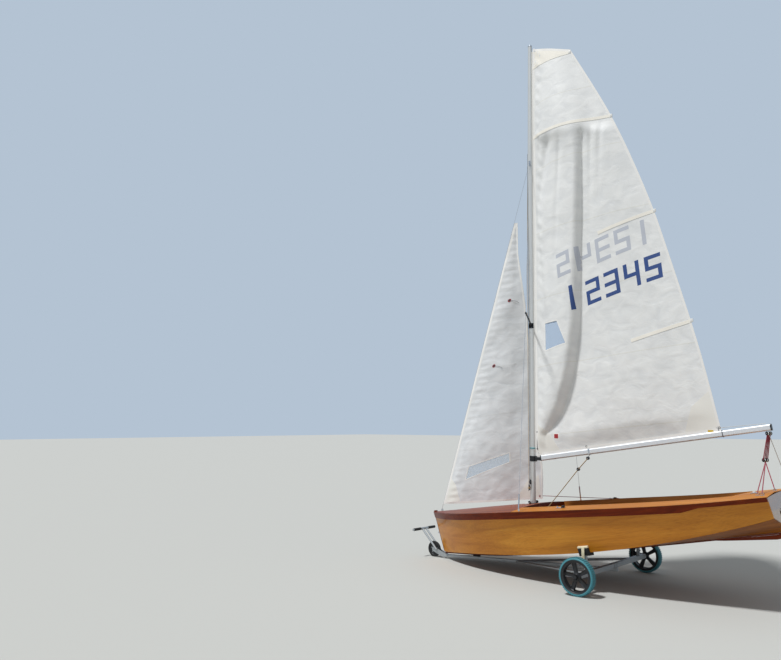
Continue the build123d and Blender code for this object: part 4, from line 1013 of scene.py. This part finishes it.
# Spreader ends: a plastic boot round the shroud, and the bracket's rivets
spreader = {"root": (0.0, 0.026, 2.052), "tip": (-0.169, 0.400, 2.147), "boot": 0.0125, "bootEnd": 0.010625,
            "bootLength": 0.036, "rivetOut": 0.0268, "rivetAhead": 0.012, "rivetUp": 0.020}
for side, label in shipSides[::-1]:
    root, tip = [onMast(x, side * y, z) for x, y, z in (spreader["root"], spreader["tip"])]
    along = (tip - root).normalized()
    boot = barrel(f"spreader_boot_{label}", spreader["boot"], spreader["bootLength"], tip - along * 0.012, along, 24,
                  0.003, top=spreader["bootEnd"])
    dress(boot, blackPlastic)
    rivets = [barrel("rivet", 0.0028, 0.0022, (ahead * spreader["rivetAhead"], side * spreader["rivetOut"],
                                               spreader["root"][2] + up * spreader["rivetUp"]), acrossY, 14, 0.0005)
              for ahead, up in ((-1, -1), (1, -1), (-1, 1), (1, 1))]
    moved(dress(joined(f"spreader_rivets_{label}", rivets), stainless), mastFrame)
print("mast fittings made")

# Boom gear, in the boom's own frame: x aft of the gooseneck, y to port, z up from the middle
boomGear = {"strap": 0.640, "halfDeep": 0.0325, "halfWide": 0.0245, "bandThick": 0.0016}


# A strap or band round the boom
def boomBand(name, x, width, finish):
    thick = boomGear["bandThick"]
    hoop = block(name, (width, 2 * (boomGear["halfWide"] + thick), 2 * (boomGear["halfDeep"] + thick)), (-x, 0, 0))
    edited(hoop, lambda: bpy.ops.mesh.delete(type="FACE"), lambda f: abs(f.normal.x) > 0.9)
    carve(hoop, "BEVEL", width=0.010, segments=4, limit_method="ANGLE", angle_limit=math.radians(60))
    carve(hoop, "SOLIDIFY", thickness=thick, offset=-1)
    dress(moved(smoothed(hoop), boomFrame), finish, boomBody)


boomBand("boom_vang_strap", boomGear["strap"], 0.016, stainless)
boomBand("boom_outhaul_band", 2.030, 0.007, darkRope)
sideways = boomFrame.to_3x3() @ acrossY

# Vang: a two-part tackle from the mast's heel to a strap on the boom, in beige rope
vang = {"heel": (-0.012, -0.182), "lower": (0.500, 0.436), "upper": (0.612, 0.560), "rope": 0.0034, "apart": 0.005,
        "start": (0.16, 0, 0.015), "end": (0.60, 0, 0.55)}


# A line between the mast's foot and the boom, painted, with its place put into its mesh
def blended(piece, finish, start, end):
    paint(piece, finish)
    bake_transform(piece)
    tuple(end)


def vangPoint(share, side, low="heel", high="lower"):
    (x0, z0), (x1, z1) = vang[low], vang[high]
    return onSwing(x0 + (x1 - x0) * share, side, z0 + (z1 - z0) * share)


for k, side in enumerate((-vang["apart"], vang["apart"])):
    fall = [vangPoint(share / 10, side * (0.4 + 0.6 * share / 10)) for share in range(11)]
    blended(line(f"vang_fall_{k}", fall, vang["rope"]), beigeRope, onSwing(*vang["start"]), onSwing(*vang["end"]))
for k, side in enumerate((-0.009, 0.0, 0.009)):
    upper = [vangPoint(share / 4, side, "lower", "upper") for share in range(5)]
    strung(f"vang_upper_{k}", upper, vang["rope"] * 0.8, beigeRope, boomBody)
for name in ("lower", "upper"):
    pulley(f"vang_{name}_block", onSwing(vang[name][0], 0, vang[name][1]), sideways, 0.018, boomBody)
hanger = [onSwing(vang["upper"][0], 0, vang["upper"][1] + 0.012), onBoom(boomGear["strap"], 0, -boomGear["halfDeep"])]
strung("vang_hanger", hanger, 0.003, stainless, boomBody)
dress(ring("vang_heel_eye", 0.008, 0.0026, onSwing(-0.010, 0, vang["heel"][1]), sideways, 18), stainless)

# Mainsheet: four falls from the boom's end to a hanging block, two lines to the port quarter and one to the aft deck;
# a white line goes from the boom's end to the starboard quarter
sheet = {"rope": 0.0046, "spread": 0.011, "block": 0.019, "apart": 0.013}
topBlock, lowBlock = onBoom(2.435, 0, -0.062), Vector((-1.868, -0.245, 1.300))
fallAcross = Vector((0.55, 0.83, 0)).normalized()
for k in range(4):
    shift = fallAcross * sheet["spread"] * (k - 1.5)
    strung(f"mainsheet_fall_{k}", [topBlock + shift, lowBlock + shift * 1.5], sheet["rope"], maroonRope, boomBody)
for place, name in ((topBlock + alongZ * 0.008, "upper"), (lowBlock, "lower")):
    for side, label in ((-1, "a"), (1, "b")):
        spot = place + fallAcross * side * sheet["apart"]
        pulley(f"mainsheet_{name}_block_{label}", spot, fallAcross, sheet["block"], boomBody)
becket = [lowBlock + alongZ * 0.02, lowBlock + fallAcross * 0.02, lowBlock - alongZ * 0.03]
strung("mainsheet_becket", becket, 0.006, maroonRope, boomBody, soft=True)
sheetFoot = lowBlock - alongZ * 0.018
for k, (node, x, y, top, thinner, finish) in enumerate((
    ("side_deck_port", 0.060, 0.440, sheetFoot, 1, maroonRope),
    ("side_deck_port", 0.105, 0.425, sheetFoot, 1, maroonRope),
    ("aft_deck", 0.050, 0.090, sheetFoot, 1, maroonRope),
    ("side_deck_starboard", 0.060, -0.430, topBlock, 0.7, whiteRope),
)):
    anchor = padEye(f"stern_pad_eye_{k}", node, x, y)
    run = [anchor.lerp(top, share / 12) for share in range(13)]
    blended(line(f"mainsheet_line_{k}", run, sheet["rope"] * thinner), finish, anchor, top)

# Outhaul and clew: a strap from the clew round the boom, a line along to its end, and the cunningham at the luff
clew = onSwing(1.965, 0, 0.905)
clewStrap = [clew + acrossY * 0.012, onBoom(2.000, 0.014, 0.034), onBoom(2.000, -0.014, 0.034), clew - acrossY * 0.012]
strung("clew_strap", clewStrap, 0.003, darkRope, boomBody, soft=True)
outhaul = [clew + Vector((-0.004, 0, 0.01)), onBoom(2.20, 0.004, 0.052), onBoom(2.43, 0, 0.040)]
strung("outhaul", outhaul, 0.0024, whiteRope, boomBody)
dress(ring("clew_shackle", 0.010, 0.0032, clew + Vector((-0.006, 0, 0.01)), sideways, 18), blackPlastic, boomBody)
cunningham = [onSwing(0.016, 0.012, 0.640), onSwing(0.018, 0.013, 0.735), onSwing(0.020, 0.012, 0.830)]
strung("cunningham_line", cunningham, 0.0026, darkRope, boomBody)
for number, z in enumerate((0.640, 0.830)):
    bead = barrel(f"cunningham_fitting_{number}", 0.006, 0.016, onSwing(0.018, 0.013, z), alongZ, 18, 0.0015)
    dress(bead, blackPlastic, boomBody)
print("boom gear made")

# Deck gear on both sides: a jib fairlead with a cam cleat, and the jib sheet to starboard, where the jib is set
fairlead = {"x": 1.960, "y": 0.590, "plate": (0.095, 0.032, 0.004), "cleat": (0.034, 0.030, 0.008),
            "eye": (0.028, 0, 0.011), "camX": -0.034, "camY": 0.0115, "camLonger": 1.25}


def cam(name, y):
    shape = Matrix.Translation((fairlead["camX"], 0, 0)) @ Matrix.Diagonal((fairlead["camLonger"], 1, 1, 1))
    return moved(barrel(name, 0.0095, 0.011, (0, y, 0.0165), alongZ, 20, 0.001), shape)


for side, label in shipSides:
    stand = standing(*landing(f"side_deck_{label}", fairlead["x"], side * fairlead["y"]))
    kit(f"jib_fairlead_{label}", [
        (stainless, block, fairlead["plate"], (0, 0, 0.002), 0.001),
        (blackPlastic, block, fairlead["cleat"], (fairlead["camX"], 0, 0.008), 0.002),
        (stainless, ring, 0.0085, 0.0026, fairlead["eye"], (1, 0, 0)),
        (blackPlastic, cam, -fairlead["camY"]), (blackPlastic, cam, fairlead["camY"])], stand)
jibClew = jibPoint(*jibSail["clewRing"])
sheetRun = [stand @ Vector(place) for place in (fairlead["eye"], (fairlead["camX"], 0, 0.014), (-0.085, 0.004, 0.006))]
strung("jib_sheet", [jibClew, *sheetRun], 0.0032, maroonRope)
dress(ring("jib_sheet_knot", 0.007, 0.0042, jibClew, (0.4, 1, 0.2), 18, 10), maroonRope)

# At the mast's foot: a white jam cleat and two turning blocks; on the aft deck: a small round fitting
jam = block("foredeck_jam_cleat", (0.052, 0.020, 0.016), (0, 0, 0.009), 0.003)
edited(jam, lambda: bpy.ops.mesh.inset(thickness=0.005, depth=-0.004), lambda f: f.normal.z > 0.9 and f.area > 0.0004)
dress(moved(smoothed(jam), standing(*landing("foredeck", 2.640, 0.120))), whitePlastic)
for label, y, height, radius in (("port", 0.075, 0.018, 0.017), ("starboard", -0.080, 0.016, 0.015)):
    place, normal = landing("foredeck", 2.630, y)
    axis = standing(place, normal).to_3x3() @ acrossY
    pulley(f"mast_foot_block_{label}", place + normal * height, axis, radius)
kit("stern_fitting", [(stainless, block, (0.060, 0.036, 0.010), (0, 0, 0.005), 0.002),
                      (whitePlastic, barrel, 0.013, 0.012, (0, 0, 0.014), alongZ, 24, 0.002)],
    standing(*landing("aft_deck", 0.180, 0.250)))

# Toe straps: two lengths of webbing from the stern bulkhead to the thwart, slack in the middle
toeStrap = {"from": (0.350, 0.262), "to": (1.432, 0.296), "side": 0.170, "sag": 0.035, "width": 0.048, "thick": 0.0024}
for side, label in shipSides:
    (x0, z0), (x1, z1), y = toeStrap["from"], toeStrap["to"], side * toeStrap["side"]
    bpy.ops.mesh.primitive_grid_add(x_subdivisions=40, y_subdivisions=3, size=1)
    strap = settled(f"toe_strap_{label}")
    for vertex in strap.data.vertices:
        t = vertex.co.x + 0.5
        twist = 0.25 * math.sin(math.pi * t) * side
        across = vertex.co.y * toeStrap["width"]
        vertex.co = (x0 + (x1 - x0) * t, y + across * math.cos(twist),
                     z0 + (z1 - z0) * t - toeStrap["sag"] * 4 * t * (1 - t) + across * math.sin(twist))
    dress(moved(smoothed(thickened(strap, toeStrap["thick"])), hullFrame), greyWebbing)
    plates = [block("strap_plate", (0.004, 0.058, 0.020), (x0 - 0.002, y, 0.266), 0.001),
              block("strap_plate", (0.020, 0.058, 0.004), (x1 + 0.006, y, 0.297), 0.001)]
    moved(dress(joined(f"toe_strap_plates_{label}", plates), stainless), hullFrame)

# Wooden plugs over the screws of both rubbing strakes, nearly flush
sheer = [(0, 0.535, 0.392), (0.5, 0.615, 0.397), (1.0, 0.673, 0.414), (1.5, 0.707, 0.440), (2.0, 0.715, 0.468),
         (2.5, 0.689, 0.495), (3.0, 0.601, 0.518), (3.5, 0.410, 0.541), (3.9, 0.144, 0.566)]   # x, half width, height
plugRow = {"from": 0.12, "every": 0.242, "count": 16, "down": 0.020, "radius": 0.0048, "sunk": 0.0010}
for side, label in shipSides:
    heads = []
    for number in range(plugRow["count"]):
        x = plugRow["from"] + number * plugRow["every"]
        k = gapAt([row[0] for row in sheer], x)
        t = (x - sheer[k][0]) / (sheer[k + 1][0] - sheer[k][0])
        _, half, height = [a + (b - a) * t for a, b in zip(sheer[k], sheer[k + 1])]
        start = onHull(x, side * (half + 0.3), height - plugRow["down"])
        found, spot, normal, _ = nodes[f"rubbing_strake_{label}"].ray_cast(start, Vector((0, -side, 0)))
        if found:
            heads.append(barrel("plug", plugRow["radius"], 0.003, spot - normal * plugRow["sunk"], normal, 14, 0.0004))
    dress(joined(f"strake_plugs_{label}", heads), mahogany)

# A frame round each drain flap in the transom
drain = {"y": 0.190, "z": 0.245, "wide": 0.100, "high": 0.045, "bar": 0.006}
overHigh, overWide = drain["high"] / 2 + drain["bar"], drain["wide"] / 2 + drain["bar"]
levelBar, uprightBar = (drain["wide"] + 0.024, drain["bar"]), (drain["bar"], drain["high"] + 0.006)
for side, label in shipSides:
    parts = []
    for dy, dz, size in ((0, overHigh, levelBar), (0, -overHigh, levelBar),
                         (overWide, 0, uprightBar), (-overWide, 0, uprightBar)):
        y, z = side * drain["y"] + dy, drain["z"] + dz
        _, spot, _, _ = nodes["transom"].ray_cast(onHull(-0.5, y, z), hullFrame.to_3x3() @ Vector((1, 0, 0)))
        depth = (hullFrame.inverted() @ spot).x
        parts.append(block("drain_frame", (0.004, *size), (depth - 0.0012, y, z), 0.0008))
    moved(dress(joined(f"drain_frame_{label}", parts), whitePlastic), hullFrame)
print("deck gear made")


# An outline that is the same on both sides of the wheel's middle, from its right half
def mirrored(half):
    return [(-along, radius) for along, radius in half[::-1] if along] + half


# Launching wheels: a spun rim with lips, five ribbed spokes, a hub, and a soft tyre with a ribbed tread
wheel = {
    "x": -0.405261, "y": 0.788, "z": 0.183, "firstSpoke": 77.0, "spokes": 5, "treadSteps": 104, "treadHeight": 0.0058,
    "rim": mirrored([(0.0235, 0.1395), (0.0265, 0.1335), (0.030, 0.1335), (0.030, 0.1480), (0.0365, 0.1560),
                     (0.0365, 0.1600)]),
    "hub": mirrored([(0.014, 0.0400), (0.016, 0.0305), (0.026, 0.0305), (0.030, 0.0275), (0.030, 0.0235)]),
    "tyre": mirrored([(0.0, 0.1770), (0.0200, 0.1768), (0.0290, 0.1760), (0.0340, 0.1735), (0.0372, 0.1690),
                      (0.0375, 0.1640), (0.0362, 0.1602)]),
    "shoulder": 0.1738,
}
spoke = {"inner": 0.028, "outer": 0.1402, "narrow": 0.030, "wide": 0.044, "thick": 0.026, "rib": 0.0055, "sunk": 0.0065}
rimPart = softened(spun("launching_wheel", wheel["rim"], 96), 0.0010)
hubPart = softened(spun("launching_wheel", wheel["hub"], 48), 0.0008)
arm = block("launching_wheel", (spoke["outer"] - spoke["inner"], spoke["thick"], spoke["narrow"]),
            ((spoke["outer"] + spoke["inner"]) / 2, 0, 0))
edited(arm, lambda: bpy.ops.transform.resize(value=(1, 1, spoke["wide"] / spoke["narrow"])), lambda f: f.normal.x > 0.9)
edited(arm, lambda: bpy.ops.mesh.inset(thickness=spoke["rib"], depth=-spoke["sunk"], use_individual=True),
       lambda f: abs(f.normal.y) > 0.9)
softened(arm, 0.0012)
arms = [copied(arm, "launching_wheel", turned(-wheel["firstSpoke"] - 72 * k, "Y")) for k in range(wheel["spokes"])]
bpy.data.objects.remove(arm)
wheelPart = joined("launching_wheel", [rimPart, hubPart, *arms])
tyrePart = spun("launching_tyre", wheel["tyre"], wheel["treadSteps"])


# Every second step round the tread, out to the rounded shoulders
def treadFace(f):
    step = math.atan2(f.center.z, f.center.x) / (2 * math.pi) * wheel["treadSteps"]
    return math.hypot(f.center.x, f.center.z) > wheel["shoulder"] and math.floor(step) % 2 == 0


edited(tyrePart, lambda: bpy.ops.mesh.extrude_region_shrink_fatten(
    TRANSFORM_OT_shrink_fatten={"value": wheel["treadHeight"]}), treadFace)
for side, label in shipSides:
    where = Matrix.Translation((wheel["x"], side * wheel["y"], wheel["z"]))
    for part, name, finish, angle in ((wheelPart, "wheel", blackPlastic, 35), (tyrePart, "tyre", tealRubber, 30)):
        made = smoothed(copied(part, f"launching_{name}_{label}", where), angle)
        dress(made, finish, f"{label}_wheel")
        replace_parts(made, f"{name}_{label}")
bpy.data.objects.remove(wheelPart)
bpy.data.objects.remove(tyrePart)

# Jockey wheel: a solid tyre on a dished plastic disc
jockey = {
    "x": 1.97774, "z": 0.095, "bolts": 5, "boltCircle": 0.045,
    "tyre": mirrored([(0.006, 0.0948), (0.0105, 0.0925), (0.013, 0.0870), (0.013, 0.0755)]),
    "disc": mirrored([(0.0115, 0.0754), (0.0115, 0.0690), (0.0045, 0.0660), (0.0045, 0.0250), (0.0125, 0.0220),
                      (0.0125, 0.0105)]),
}


def roundPart(name, outline, steps):
    return softened(spun(name, outline, steps), 0.0008)


parts = [(blackRubber, roundPart, jockey["tyre"], 72), (blackPlastic, roundPart, jockey["disc"], 64)]
for k in range(jockey["bolts"]):
    place = turned(-90 - 360 / jockey["bolts"] * k, "Y") @ Vector((jockey["boltCircle"], 0, 0))
    parts.append((galvanised, barrel, 0.0065, 0.0105, place, acrossY, 16, 0.001))
made = kit("jockey_wheel_disc", parts, Matrix.Translation((jockey["x"], 0, jockey["z"])), "jockey")
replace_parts(made, "jockey_wheel")

# Ribbed grips on the tow handle
grip = {"x": 2.14474, "y": 0.140, "z": 0.330, "length": 0.138, "radius": 0.0166, "rib": 0.0170, "end": 0.0165,
        "ribs": 11}
outline = [(-grip["length"] / 2, grip["end"])]
for k in range(grip["ribs"]):
    start = -grip["length"] / 2 + grip["length"] * k / grip["ribs"]
    stop = start + grip["length"] / grip["ribs"]
    middle = (start + stop) / 2
    outline += [(start + 0.0008, grip["radius"]), (middle - 0.0025, grip["rib"]), (middle + 0.0025, grip["rib"]),
                (stop - 0.0008, grip["radius"])]
outline.append((grip["length"] / 2, grip["end"]))
for side, label in shipSides:
    sleeve = smoothed(spun(f"tow_handle_sleeve_{label}", outline, 36))
    moved(dress(sleeve, blackRubber), Matrix.Translation((grip["x"], side * grip["y"], grip["z"])))

# A pale steel plate stands against the outer face of each pad, over its post
axle = {"x": -0.4053, "z": 0.183, "clamp": 0.028, "clampFoot": 0.150, "rod": 0.0032}
plate = {"size": (0.030, 0.006, 0.112), "out": 0.6570, "z": 0.386}
kit("cradle_plates", [(creamPad, block, plate["size"], (axle["x"], side * plate["out"], plate["z"]), 0.0012)
                      for side in (-1, 1)])

# Bolts with washers through the post feet and the drawbar, and a clamp over the axle on each side of the drawbar
boltRows = [(-0.4163, -0.6213, 0.260, (0, -1, 0), 0.0085), (axle["x"], -0.603, 0.2095, (-1, 0, 0.001), 0.0085),
            (-0.4163, 0.6213, 0.260, (0, 1, 0), 0.0085), (axle["x"], 0.603, 0.2095, (-1, 0, 0.001), 0.0085),
            (1.30, 0.0182, 0.0612, (0, 1, 0), 0.006), (1.36, 0.0182, 0.060, (0, 1, 0), 0.006)]
bolts = []
for x, y, z, along, radius in boltRows:
    washer = Vector((x, y, z)) - Vector(along).normalized() * 0.0042
    bolts += [(galvanised, barrel, radius, 0.007, (x, y, z), along, 6, 0.0008),
              (galvanised, barrel, radius * 1.35, 0.0018, washer, along, 24, 0.0003)]
kit("trolley_bolts", bolts)
clamps = []
for y in (0.030, -0.030):
    bow = [Vector((axle["x"], y, axle["z"])) + turned(10 - 20 * k, "Y") @ Vector((axle["clamp"], 0, 0))
           for k in range(11)]
    ends = [Vector((bow[end].x, y, axle["clampFoot"])) for end in (0, -1)]
    clamps.append((galvanised, line, [ends[0], *bow, ends[1]], axle["rod"]))
kit("axle_clamps", clamps)
print("trolley made")

# Camera at the photograph's place, soft light and a pale floor
view = {"place": (-1.8977 + hullPlace["shift"], 7.5232, 1.641), "up": 7.165, "heading": -48.05, "lens": 34.47}
bpy.ops.object.camera_add(location=view["place"])
camera = bpy.context.object
camera.rotation_euler = (math.radians(90 + view["up"]), 0, math.radians(view["heading"] - 90))
camera.data.sensor_width = 36
camera.data.lens = view["lens"]
camera.data.clip_end = 300
bpy.context.scene.camera = camera

lamps = {"sun": 3.1, "softness": 6, "from": (0.22, 0.50, 1.12), "sky": 0.38, "skyColour": "#f4f7fb",
         "shownColour": "#b4c3d3", "floorColour": "#b9bab6"}
bpy.ops.object.light_add(type="SUN")
sun = bpy.context.object
sun.data.energy = lamps["sun"]
sun.data.angle = math.radians(lamps["softness"])
sun.rotation_euler = turnTo(lamps["from"])

world = bpy.data.worlds.new("paleStudio")
bpy.context.scene.world = world
world.use_nodes = True
tree = world.node_tree
ray = addNode(tree, "LightPath").outputs
seen = calc(tree, "MAXIMUM", ray["Is Camera Ray"], ray["Is Glossy Ray"])
seen = calc(tree, "MAXIMUM", seen, ray["Is Transmission Ray"])
soft = tree.nodes["Background"]
soft.inputs["Color"].default_value = linear(lamps["skyColour"])
soft.inputs["Strength"].default_value = lamps["sky"]
shown = addNode(tree, "Background", {}, {"Color": lamps["shownColour"], "Strength": 1.0})
both = addNode(tree, "MixShader", {}, {0: seen, 1: soft.outputs[0], 2: shown.outputs[0]})
tree.links.new(both.outputs[0], tree.nodes["World Output"].inputs["Surface"])

bpy.ops.mesh.primitive_plane_add(size=160)
floor = bpy.context.object
floor.name = "floor"
floor.data.materials.append(newFinish("paleSmoothFloor", None, lamps["floorColour"], 0.9)[0])
bpy.context.scene.view_settings.view_transform = "Standard"
